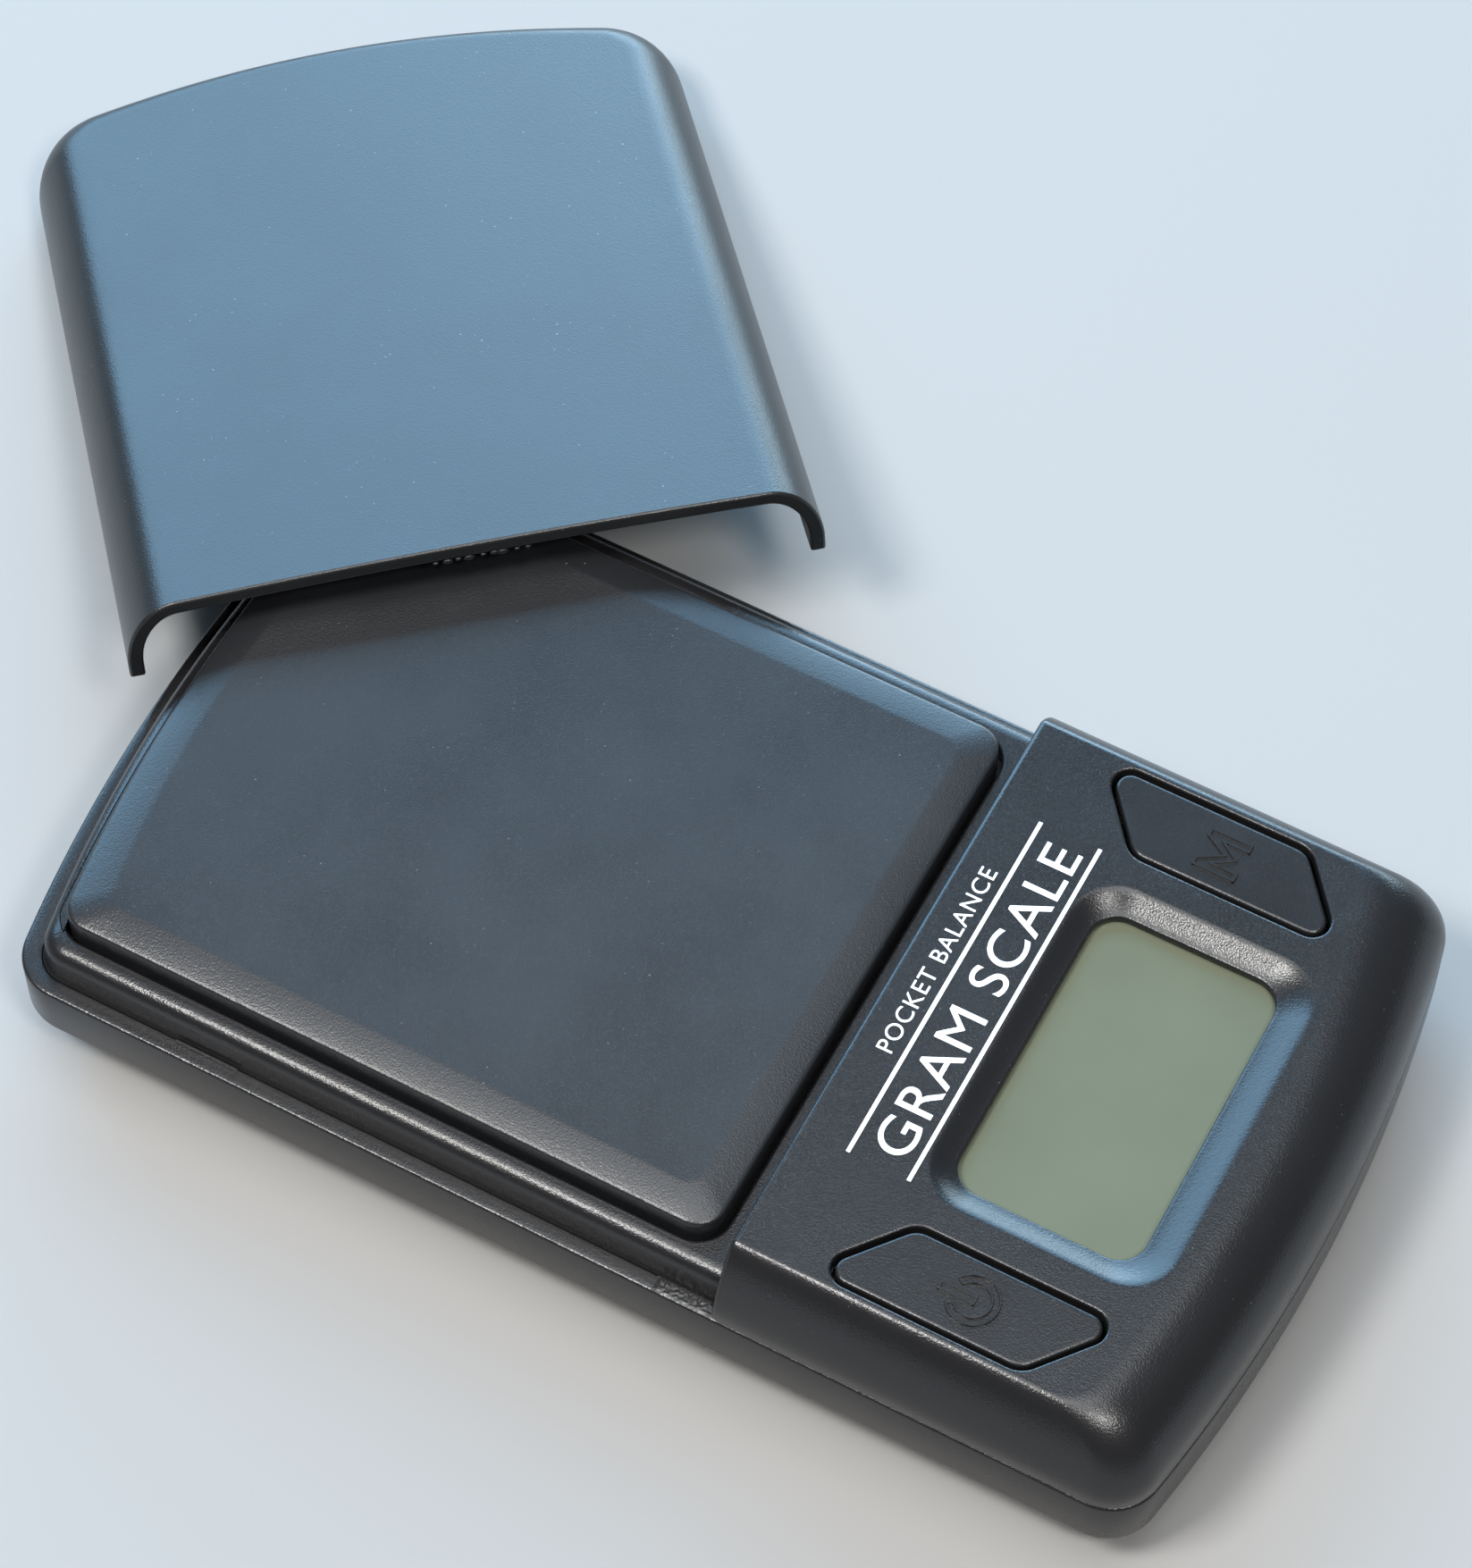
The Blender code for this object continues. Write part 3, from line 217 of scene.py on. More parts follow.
def case_plan(inset):
    corner = max(CORNER - inset, LEAST_CORNER)
    return plan(-TIP + inset, TIP - inset, HALF_W - inset, (BOW, BOW), (corner, corner))


def at(outline, z):
    return [(x, y, z) for x, y in outline]


def rounded_corners(corners, radii, steps=8):
    """Round each corner of a polygon, given counter-clockwise, with its own radius."""
    outline = []
    count = len(corners)
    for i, radius in enumerate(radii):
        here = Vector(corners[i])
        before = (Vector(corners[i - 1]) - here).normalized()
        after = (Vector(corners[(i + 1) % count]) - here).normalized()
        half = before.angle(after) / 2
        centre = here + (before + after).normalized() * (radius / math.sin(half))
        start = here + before * (radius / math.tan(half)) - centre
        end = here + after * (radius / math.tan(half)) - centre
        sweep = start.angle_signed(end)
        for step in range(steps + 1):
            angle = math.atan2(start.y, start.x) - sweep * step / steps
            outline.append((centre.x + radius * math.cos(angle), centre.y + radius * math.sin(angle)))
    return outline


def button_plan(side, grow):
    """Slanted button outline; grow moves its edges outwards."""
    slant = (BUTTON_IN_X[1] - BUTTON_OUT_X[1]) / (BUTTON_OUT - BUTTON_IN)
    shift = grow * math.hypot(1.0, slant)
    inner, outer = BUTTON_IN - grow, BUTTON_OUT + grow
    corners = [(BUTTON_OUT_X[0] - slant * grow - shift, -outer),
               (BUTTON_OUT_X[1] - slant * grow + shift, -outer),
               (BUTTON_IN_X[1] + slant * grow + shift, -inner),
               (BUTTON_IN_X[0] + slant * grow - shift, -inner)]
    outline = rounded_corners(corners, [r + grow for r in BUTTON_CORNERS])
    if side > 0:
        outline = [(x, -y) for x, y in reversed(outline)]
    return outline


# ---------------------------------------------------------------- mesh tools

def strip(bm, rings, closed=True):
    """Quads through rings of points that all have the same count."""
    points = rings[0]
    verts = [bm.verts.new(p) for p in points]
    count = len(verts)
    pairs = range(count) if closed else range(1, count)
    edges = [bm.edges.new((verts[i - 1], verts[i])) for i in pairs]
    for ring in rings[1:]:
        made = bmesh.ops.extrude_edge_only(bm, edges=edges)["geom"]
        above = {tuple(item.co): item for item in made if isinstance(item, bmesh.types.BMVert)}
        verts = [above[tuple(vert.co)] for vert in verts]
        edges = [bm.edges.get((verts[i - 1], verts[i])) for i in pairs]
        for vert, point in zip(verts, ring):
            vert.co = point
    return verts


def sheet(bm, outer, holes, z):
    """A flat filled outline with holes, added to the mesh."""
    curve = bpy.data.curves.new("sheet", "CURVE")
    curve.dimensions = "2D"
    curve.fill_mode = "BOTH"
    for outline in [outer] + list(holes):
        spline = curve.splines.new("POLY")
        spline.points.add(len(outline) - 1)
        for point, (x, y) in zip(spline.points, outline):
            point.co = (x, y, 0.0, 1.0)
        spline.use_cyclic_u = True
    guide = bpy.data.objects.new("sheet", curve)
    bpy.context.scene.collection.objects.link(guide)
    bpy.context.view_layer.update()
    evaluated = guide.evaluated_get(bpy.context.evaluated_depsgraph_get())
    mesh = bpy.data.meshes.new_from_object(evaluated)
    mesh.transform(Matrix.Translation((0.0, 0.0, z)))
    bm.from_mesh(mesh)
    bpy.data.objects.remove(guide, do_unlink=True)
    bpy.data.curves.remove(curve)
    bpy.data.meshes.remove(mesh)


def done(name, bm, material, body, replaced=(), matrix=None, sharp=42.0, weld=0.004):
    """Weld, orient and place the mesh, and hand it to its body."""
    bmesh.ops.remove_doubles(bm, verts=bm.verts, dist=weld)
    bmesh.ops.recalc_face_normals(bm, faces=bm.faces)
    mesh = bpy.data.meshes.new(name)
    bm.to_mesh(mesh)
    bm.free()
    if matrix is not None:
        mesh.transform(matrix)
    mesh.transform(Matrix.Translation(SHIFT) @ Matrix.Scale(MM, 4))
    mesh.shade_smooth()
    mesh.set_sharp_from_angle(angle=math.radians(sharp))
    piece = bpy.data.objects.new(name, mesh)
    bpy.context.scene.collection.objects.link(piece)
    piece.data.materials.append(material)
    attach(piece, body)
    if replaced:
        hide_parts(*replaced)
    return piece


def quarter_turns(steps):
    return [math.pi / 2 * i / steps for i in range(steps + 1)]


# ---------------------------------------------------------------- materials

def new_group(name, inputs, outputs):
    group = bpy.data.node_groups.new(name, "ShaderNodeTree")
    for label, value in inputs:
        socket = group.interface.new_socket(label, in_out="INPUT", socket_type="NodeSocketFloat")
        socket.default_value = value
    for label, kind in outputs:
        group.interface.new_socket(label, in_out="OUTPUT", socket_type=kind)
    return group, group.nodes.new("NodeGroupInput"), group.nodes.new("NodeGroupOutput")


def math_node(tree, operation, first, second=None):
    node = tree.nodes.new("ShaderNodeMath")
    node.operation = operation
    for index, value in enumerate((first, second)):
        if value is None:
            continue
        if isinstance(value, (int, float)):
            node.inputs[index].default_value = value
        else:
            tree.links.new(value, node.inputs[index])
    return node.outputs[0]


def noise_node(tree, coords, scale, detail=2.0, roughness=0.5):
    node = tree.nodes.new("ShaderNodeTexNoise")
    node.inputs["Detail"].default_value = detail
    node.inputs["Roughness"].default_value = roughness
    if isinstance(scale, (int, float)):
        node.inputs["Scale"].default_value = scale
    else:
        tree.links.new(scale, node.inputs["Scale"])
    tree.links.new(coords, node.inputs["Vector"])
    return node.outputs["Fac"]


def ramp_node(tree, value, low, high, low_out=0.0, high_out=1.0):
    node = tree.nodes.new("ShaderNodeMapRange")
    node.inputs["From Min"].default_value = low
    node.inputs["From Max"].default_value = high
    node.inputs["To Min"].default_value = low_out
    node.inputs["To Max"].default_value = high_out
    tree.links.new(value, node.inputs["Value"])
    return node.outputs["Result"]


def make_moulded_group():
    """Spark-eroded plastic: fine relief, uneven sheen and a sprinkling of dust."""
    group, inside, out = new_group(
        "moulded_plastic",
        [("Grain", 5200.0), ("Dust", 0.5), ("Sheen", 0.4), ("Spread", 0.08)],
        [("Height", "NodeSocketFloat"), ("Roughness", "NodeSocketFloat"), ("Dust Mask", "NodeSocketFloat")])
    coords = group.nodes.new("ShaderNodeTexCoord").outputs["Object"]
    fine = noise_node(group, coords, inside.outputs["Grain"], 1.0, 0.6)
    coarse_scale = math_node(group, "MULTIPLY", inside.outputs["Grain"], 0.4)
    coarse = noise_node(group, coords, coarse_scale, 2.0, 0.5)
    height = math_node(group, "ADD", fine, math_node(group, "MULTIPLY", coarse, 0.35))
    group.links.new(height, out.inputs["Height"])
    cloudy = noise_node(group, coords, 55.0, 4.0, 0.6)
    uneven = math_node(group, "MULTIPLY", math_node(group, "SUBTRACT", cloudy, 0.5), inside.outputs["Spread"])
    doubled = math_node(group, "MULTIPLY", uneven, 2.0)
    group.links.new(math_node(group, "ADD", inside.outputs["Sheen"], doubled), out.inputs["Roughness"])
    cells = group.nodes.new("ShaderNodeTexVoronoi")
    cells.inputs["Scale"].default_value = 900.0
    group.links.new(coords, cells.inputs["Vector"])
    specks = ramp_node(group, cells.outputs["Distance"], 0.10, 0.04)
    patchy = ramp_node(group, noise_node(group, coords, 160.0, 3.0), 0.52, 0.7)
    dust = math_node(group, "MULTIPLY", math_node(group, "MULTIPLY", specks, patchy), inside.outputs["Dust"])
    group.links.new(dust, out.inputs["Dust Mask"])
    return group


def make_metal_group():
    """Fine drawn lines and dull patches for small metal parts."""
    group, inside, out = new_group("worn_metal", [("Lines", 2600.0), ("Sheen", 0.3)],
                                   [("Height", "NodeSocketFloat"), ("Roughness", "NodeSocketFloat")])
    coords = group.nodes.new("ShaderNodeTexCoord").outputs["Object"]
    stretch = group.nodes.new("ShaderNodeMapping")
    stretch.inputs["Scale"].default_value = (0.06, 1.0, 1.0)
    group.links.new(coords, stretch.inputs["Vector"])
    lines = noise_node(group, stretch.outputs["Vector"], inside.outputs["Lines"], 2.0)
    group.links.new(lines, out.inputs["Height"])
    patches = noise_node(group, coords, 400.0, 3.0)
    rough = math_node(group, "ADD", inside.outputs["Sheen"],
                      math_node(group, "MULTIPLY", math_node(group, "SUBTRACT", patches, 0.5), 0.3))
    group.links.new(rough, out.inputs["Roughness"])
    return group


MOULDED = make_moulded_group()
METAL = make_metal_group()


def start_material(name, colour, metallic=0.0):
    material = bpy.data.materials.new(name)
    material.use_nodes = True
    shader = material.node_tree.nodes["Principled BSDF"]
    shader.inputs["Base Color"].default_value = (*colour, 1.0)
    shader.inputs["Metallic"].default_value = metallic
    return material, material.node_tree, shader


def use_group(tree, group, values):
    node = tree.nodes.new("ShaderNodeGroup")
    node.node_tree = group
    for label, value in values.items():
        node.inputs[label].default_value = value
    return node


def add_bump(tree, shader, height, distance, strength=1.0):
    bump = tree.nodes.new("ShaderNodeBump")
    bump.inputs["Strength"].default_value = strength
    bump.inputs["Distance"].default_value = distance * MM
    tree.links.new(height, bump.inputs["Height"])
    tree.links.new(bump.outputs["Normal"], shader.inputs["Normal"])


def plastic(name, colour, sheen, relief, dust=0.5, dust_colour=(0.25, 0.25, 0.25), grain=5200.0,
            spread=0.08, specular=0.5):
    material, tree, shader = start_material(name, colour)
    node = use_group(tree, MOULDED, {"Grain": grain, "Dust": dust, "Sheen": sheen, "Spread": spread})
    tree.links.new(node.outputs["Roughness"], shader.inputs["Roughness"])
    shader.inputs["Specular IOR Level"].default_value = specular
    mix = tree.nodes.new("ShaderNodeMix")
    mix.data_type = "RGBA"
    mix.inputs["A"].default_value = (*colour, 1.0)
    mix.inputs["B"].default_value = (*dust_colour, 1.0)
    tree.links.new(node.outputs["Dust Mask"], mix.inputs["Factor"])
    tree.links.new(mix.outputs["Result"], shader.inputs["Base Color"])
    add_bump(tree, shader, node.outputs["Height"], relief)
    return material


def metal(name, colour, sheen, metallic=1.0, relief=0.006):
    material, tree, shader = start_material(name, colour, metallic)
    node = use_group(tree, METAL, {"Sheen": sheen})
    tree.links.new(node.outputs["Roughness"], shader.inputs["Roughness"])
    add_bump(tree, shader, node.outputs["Height"], relief)
    return material


CASE = plastic("case_plastic", (0.011, 0.011, 0.012), 0.27, 0.03, 0.4)
HOOD = plastic("hood_plastic", (0.011, 0.011, 0.012), 0.27, 0.03, 0.35)
COVER = plastic("cover_plastic", (0.012, 0.013, 0.014), 0.33, 0.025, 0.7)
TRAY = plastic("tray_plastic", (0.014, 0.015, 0.017), 0.33, 0.03, 0.5, spread=0.12)
BUTTON = plastic("button_plastic", (0.011, 0.011, 0.012), 0.27, 0.02, 0.15)
PRINT = plastic("white_print", (0.82, 0.82, 0.82), 0.5, 0.004, 0.2, (0.6, 0.6, 0.6))
RUBBER = plastic("foot_rubber", (0.02, 0.02, 0.02), 0.8, 0.02, 0.7, (0.2, 0.19, 0.18), 2600.0)
WHITE = plastic("natural_plastic", (0.7, 0.7, 0.67), 0.45, 0.01, 0.1, (0.4, 0.38, 0.35))
EPOXY = plastic("epoxy", (0.01, 0.01, 0.01), 0.28, 0.01, 0.2)
JACKET = plastic("cell_jacket", (0.08, 0.17, 0.32), 0.25, 0.003, 0.15)
FOIL = plastic("gauge_foil", (0.6, 0.33, 0.09), 0.35, 0.004, 0.1)
INSULATION = {
    "wire_red": plastic("red_insulation", (0.5, 0.02, 0.02), 0.35, 0.004, 0.1),
    "wire_black": plastic("black_insulation", (0.015, 0.015, 0.015), 0.35, 0.004, 0.1),
    "wire_green": plastic("green_insulation", (0.02, 0.28, 0.06), 0.35, 0.004, 0.1),
    "wire_white": plastic("white_insulation", (0.75, 0.75, 0.73), 0.35, 0.004, 0.1),
}
STEEL = metal("zinc_steel", (0.6, 0.6, 0.58), 0.28)
NICKEL = metal("nickel_plate", (0.68, 0.66, 0.6), 0.22)
ALUMINIUM = metal("milled_aluminium", (0.76, 0.77, 0.78), 0.34)


def make_board_material():
    """Green solder mask with fine raised tracks."""
    material, tree, shader = start_material("board_mask", (0.01, 0.1, 0.04))
    coords = tree.nodes.new("ShaderNodeTexCoord").outputs["Object"]
    bricks = tree.nodes.new("ShaderNodeTexBrick")
    bricks.inputs["Scale"].default_value = 700.0
    bricks.inputs["Color1"].default_value = (0.012, 0.12, 0.05, 1.0)
    bricks.inputs["Color2"].default_value = (0.01, 0.09, 0.035, 1.0)
    bricks.inputs["Mortar"].default_value = (0.03, 0.2, 0.08, 1.0)
    tree.links.new(coords, bricks.inputs["Vector"])
    tree.links.new(bricks.outputs["Color"], shader.inputs["Base Color"])
    shader.inputs["Roughness"].default_value = 0.3
    add_bump(tree, shader, bricks.outputs["Fac"], 0.03)
    return material


def make_lcd_material():
    """Unlit display: grey-green film with a faint grain."""
    material, tree, shader = start_material("lcd_film", (0.235, 0.29, 0.2))
    coords = tree.nodes.new("ShaderNodeTexCoord").outputs["Object"]
    cloud = ramp_node(tree, noise_node(tree, coords, 70.0, 3.0), 0.3, 0.7)
    mix = tree.nodes.new("ShaderNodeMix")
    mix.data_type = "RGBA"
    mix.inputs["A"].default_value = (0.128, 0.142, 0.094, 1.0)
    mix.inputs["B"].default_value = (0.145, 0.16, 0.106, 1.0)
    tree.links.new(cloud, mix.inputs["Factor"])
    tree.links.new(mix.outputs["Result"], shader.inputs["Base Color"])
    shader.inputs["Roughness"].default_value = 0.55
    shader.inputs["Specular IOR Level"].default_value = 0.25
    add_bump(tree, shader, noise_node(tree, coords, 4200.0, 2.0), 0.002)
    return material


def make_window_material():
    """Clear polished window: thin, with a few faint wipe marks."""
    material, tree, shader = start_material("clear_window", (0.05, 0.055, 0.05))
    coords = tree.nodes.new("ShaderNodeTexCoord").outputs["Object"]
    marks = ramp_node(tree, noise_node(tree, coords, 240.0, 4.0), 0.4, 0.75, 0.05, 0.16)
    tree.links.new(marks, shader.inputs["Roughness"])
    shader.inputs["Alpha"].default_value = 0.06
    add_bump(tree, shader, noise_node(tree, coords, 90.0, 2.0), 0.003)
    return material


BOARD = make_board_material()
LCD = make_lcd_material()
CLEAR = make_window_material()

BY_SLOT = {"case": CASE, "cover": COVER, "tray": TRAY, "button": BUTTON, "clear": CLEAR, "lcd": LCD,
           "rubber": RUBBER, "board": BOARD, "epoxy": EPOXY, "aluminium": ALUMINIUM, "steel": STEEL,
           "nickel": NICKEL, "foil": FOIL, "cell": JACKET, "white": WHITE, **INSULATION}


def dress_nodes():
    """Give every carried-over node the finish of its slot."""
    for entry in frame["record"]["subparts"]:
        node = frame["nodes"][entry["node"]]
        node.data.materials.clear()
        node.data.materials.append(BY_SLOT[entry["material_slot"]])


# ---------------------------------------------------------------- lower case

def notched(outline, start, half_width):
    """The outline with a straight-sided notch let into its +X end, for the battery door."""
    inside = [i for i, (x, y) in enumerate(outline) if x > 0.0 and abs(y) < half_width]
    result = list(outline)
    for i in inside:
        result[i] = (start, outline[i][1])
    for edge, side in ((inside[0], -half_width), (inside[-1], half_width)):
        outer = edge - 1 if side < 0 else edge + 1
        result[outer] = (outline[outer][0], side)
        result[edge] = (start, side)
    return result


def circle(x, y, radius, steps=28):
    return arc((x, y), radius, 0.0, 2 * math.pi, steps)[:-1]


def capsule(low, high, radius, steps=16):
    right = arc((high, 0.0), radius, -math.pi / 2, math.pi / 2, steps)
    left = arc((low, 0.0), radius, math.pi / 2, 3 * math.pi / 2, steps)
    return right + left


def box_centre(node):
    low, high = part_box(node)
    centre = ((low + high) / 2 - SHIFT) / MM
    return centre.x, centre.y


def add_recess(bm, outline, depth_z):
    strip(bm, [at(outline, UNDER_Z), at(outline, depth_z)])
    sheet(bm, outline, [], depth_z)


def add_battery_bay(bm):
    """Bay for two cells, open downwards into the door's channel."""
    opening = plan(*BAY_X, BAY_MOUTH, (0.0, 0.0), (BAY_CORNER, BAY_CORNER))
    inside = plan(*BAY_X, BAY_HALF_W, (0.0, 0.0), (BAY_CORNER, BAY_CORNER))
    strip(bm, [at(opening, CHANNEL_Z), at(opening, BAY_LIP_Z), at(inside, BAY_LIP_Z), at(inside, BAY_ROOF_Z)])
    sheet(bm, inside, [], BAY_ROOF_Z)
    side = CHANNEL_HALF_W + CHANNEL_RAIL
    ceiling = [(CHANNEL_X, -side), (CEILING_X, -side), (CEILING_X, side), (CHANNEL_X, side)]
    sheet(bm, ceiling, [opening], CHANNEL_Z)


def make_lower_case():
    bm = bmesh.new()
    side = CHANNEL_HALF_W + CHANNEL_RAIL
    foot = [(SLOPE_IN, UNDER_Z), (SLOPE_IN - 0.16, 1.03), (SLOPE_IN - 0.4, 1.2),
            (SLOPE_IN - 0.7, CHANNEL_LIP_Z)]
    lower = [at(notched(case_plan(inset), CHANNEL_X, CHANNEL_HALF_W), z) for inset, z in foot]
    lower.append(at(notched(case_plan(SLOPE_IN - 0.7), CHANNEL_X, side), CHANNEL_LIP_Z))
    lower.append(at(notched(case_plan(CHANNEL_IN), CHANNEL_X, side), CHANNEL_Z))
    strip(bm, lower)
    profile = [(CHANNEL_IN, CHANNEL_Z), (0.6, 5.12), (0.3, 5.45), (0.1, 5.82), (0.0, 6.3), (0.0, 9.0),
               (0.0, LEDGE_Z - 0.35), (0.05, LEDGE_Z - 0.17), (0.17, LEDGE_Z - 0.05), (0.35, LEDGE_Z),
               (1.6, LEDGE_Z), (1.75, LEDGE_Z - 0.06), (1.8, LEDGE_Z - 0.25), (1.8, 8.0), (1.8, 6.0),
               (4.6, 3.0)]
    upper = [at(notched(case_plan(CHANNEL_IN), CEILING_X, side), CHANNEL_Z)]
    strip(bm, upper + [at(case_plan(inset), z) for inset, z in profile])
    beam_x, beam_radius, beam_depth = BEAM_RECESS
    recesses = [(capsule(*beam_x, beam_radius), beam_depth)]
    for i in range(1, 5):
        for node, (radius, depth) in ((f"foot_{i}", FOOT_RECESS), (f"case_screw_{i}", SCREW_RECESS)):
            recesses.append((circle(*box_centre(node), radius), depth))
    for outline, depth in recesses:
        add_recess(bm, outline, depth)
    holes = [outline for outline, depth in recesses]
    sheet(bm, notched(case_plan(SLOPE_IN), CHANNEL_X, CHANNEL_HALF_W), holes, UNDER_Z)
    add_battery_bay(bm)
    return done("case_bottom_half", bm, CASE, "scale", ["lower_case"])


def make_ledge_marks():
    """Snap slot line and a roughened patch on the near ledge."""
    bm = bmesh.new()
    bar_mesh(bm, *SLOT_LINE, 0.26, LEDGE_Z - 0.05, LEDGE_Z + 0.09)
    bar_mesh(bm, *SLOT_TICK, 0.2, LEDGE_Z - 0.05, LEDGE_Z + 0.06)
    along, across = ROUGH_GRID
    verts = []
    for i in range(along + 1):
        for j in range(across + 1):
            x = ROUGH_X[0] + ROUGH_X[1] * i / along
            y = ROUGH_Y[0] + ROUGH_Y[1] * j / across
            rim = min(i, along - i, 4) * min(j, across - j, 3) / 12
            z = LEDGE_Z - 0.02 + rim * (0.09 + 0.1 * noise.noise((x * 3.1, y * 3.1, 0.0)))
            verts.append(bm.verts.new((x, y, z)))
    for i in range(along):
        for j in range(across):
            near = i * (across + 1) + j
            far = near + across + 1
            bm.faces.new([verts[near], verts[far], verts[far + 1], verts[near + 1]])
    return done("ledge_marks", bm, CASE, "scale", weld=0.0005)


# ---------------------------------------------------------------- rim and hood

def rim_plan(inset, end):
    corner = max(CORNER - RIM_IN - inset, LEAST_CORNER)
    return plan(-TIP + RIM_IN + inset, end, HALF_W - RIM_IN - inset, (BOW, 0.0), (corner, LEAST_CORNER))


def well_plan(grow):
    low, high, half_width, corner = PLATFORM
    reach = PLATFORM_GAP + grow
    return plan(low - reach, high + reach, half_width + reach, (PLATFORM_BOW, 0.0), (corner + reach,) * 2)


def add_rim(bm):
    end = HOOD_X + 1.3
    outer = [(rim_plan(-0.3, end), 11.5), (rim_plan(-0.3, end), 12.75), (rim_plan(-0.12, end), 12.95),
             (rim_plan(0.0, end), 13.3), (rim_plan(0.1, end), RIM_Z - 1.5)]
    for turn in quarter_turns(8)[1:]:
        outer.append((rim_plan(0.1 + 1.7 * (1 - math.cos(turn)), end), RIM_Z - 1.5 + 1.5 * math.sin(turn)))
    outer.append((rim_plan(1.87, end), RIM_Z))
    strip(bm, [at(outline, z) for outline, z in outer])
    lip = 0.28
    inner = [(well_plan(lip + 0.08), RIM_Z)]
    for turn in quarter_turns(4):
        inner.append((well_plan(lip * (1 - math.sin(turn))), RIM_Z - lip * (1 - math.cos(turn))))
    inner += [(well_plan(0.0), RIM_Z - 1.2), (well_plan(0.0), WELL_Z)]
    strip(bm, [at(outline, z) for outline, z in inner])
    sheet(bm, rim_plan(1.87, end), [well_plan(lip + 0.08)], RIM_Z)
    sheet(bm, well_plan(0.0), [], WELL_Z)


def hood_side(level):
    """(side inset, end inset, drop) of the shoulder: level 0 at its foot, 1 at the flat top."""
    up = math.sin(level * math.pi / 2)
    side = SIDE_IN * (1 - max(1 - up ** SIDE_POWER, 0.0) ** (1 / SIDE_POWER))
    end = END_IN * (1 - math.cos(level * math.pi / 2))
    return side, end, RISE * (1 - up)


def hood_line(side, end, front):
    """U-shaped line round the hood, from the near side of its front to the far side."""
    corner = max(CORNER + (TOP_CORNER - CORNER) * end / END_IN, LEAST_CORNER)
    half_width = HALF_W - side
    line = bowed_end(TIP - end, half_width, BOW, corner)
    return [(front, -half_width)] + line + [(front, half_width)]


def ring_between(inner, outer, part):
    low = inner[0] + (outer[0] - inner[0]) * part
    high = inner[1] + (outer[1] - inner[1]) * part
    half_width = inner[2] + (outer[2] - inner[2]) * part
    corner = inner[3] + (outer[3] - inner[3]) * part
    return plan(low, high, half_width, (0.0, 0.0), (corner, corner))


def add_hood(bm):
    front = HOOD_X + HOOD_EDGE
    levels = [i / SHOULDER_STEPS for i in range(SHOULDER_STEPS + 1)]
    lines = [(hood_line(1.9, 1.9, front), HOOD_LOW + 0.02), (hood_line(0.28, 0.28, front), HOOD_LOW),
             (hood_line(0.14, 0.14, front), HOOD_LOW + 0.04), (hood_line(0.04, 0.04, front), HOOD_LOW + 0.14),
             (hood_line(0.0, 0.0, front), HOOD_LOW + 0.3)]
    for level in levels:
        side, end, drop = hood_side(level)
        lines.append((hood_line(side, end, front), HOOD_Z - drop))
    strip(bm, [at(line, z) for line, z in lines], closed=False)

    # Front edge, rounded, and the face of the step
    lips = []
    for turn in quarter_turns(5):
        inset = HOOD_EDGE * (1 - math.cos(turn))
        x = front - HOOD_EDGE * math.sin(turn)
        near = [(x, -(HALF_W - inset), HOOD_LOW + 0.3)]
        for level in levels:
            side, end, drop = hood_side(level)
            z = HOOD_Z - drop - inset * math.sin(level * math.pi / 2)
            y = HALF_W - side - inset * math.cos(level * math.pi / 2)
            near.append((x, -y, z))
        lips.append(near + [(px, -py, pz) for px, py, pz in reversed(near)])
    last = strip(bm, lips, closed=False)
    bmesh.ops.contextual_create(bm, geom=last)

    # Flat top with its openings
    side, end, drop = hood_side(1.0)
    edge = hood_line(side, end, front)
    guard = hood_line(side + 0.15, end + 0.15, front + 0.15)
    strip(bm, [at(edge, HOOD_Z), at(guard, HOOD_Z)])
    lip = ROLLED_LIP
    holes = [ring_between(WINDOW, BEZEL, 1.04)]
    for way in (-1, 1):
        holes.append(button_plan(way, BUTTON_HALF_GAP + lip + 0.08))
        rings = [(button_plan(way, BUTTON_HALF_GAP + lip + 0.08), HOOD_Z)]
        for turn in quarter_turns(4):
            rings.append((button_plan(way, BUTTON_HALF_GAP + lip * (1 - math.sin(turn))),
                          HOOD_Z - lip * (1 - math.cos(turn))))
        rings.append((button_plan(way, BUTTON_HALF_GAP), HOOD_Z - BUTTON_SKIRT))
        strip(bm, [at(outline, z) for outline, z in rings])
    sheet(bm, guard, holes, HOOD_Z)

    # Bezel: rolled outer edge, slope, small inner edge and a short wall
    depth = HOOD_Z - WINDOW_Z
    rings = [(1.04, 0.0), (1.0, 0.0), (0.95, 0.015), (0.88, 0.06), (0.8, 0.14), (0.7, 0.26), (0.6, 0.39),
             (0.4, 0.64), (0.2, 0.86), (0.1, 0.94), (0.05, 0.975), (0.02, 1.02), (0.0, 1.12), (0.0, 1.75)]
    strip(bm, [at(ring_between(WINDOW, BEZEL, part), HOOD_Z - depth * drop) for part, drop in rings])


def make_upper_case():
    bm = bmesh.new()
    add_rim(bm)
    add_hood(bm)
    return done("case_top_half", bm, HOOD, "scale", ["upper_case"])


# ---------------------------------------------------------------- platform

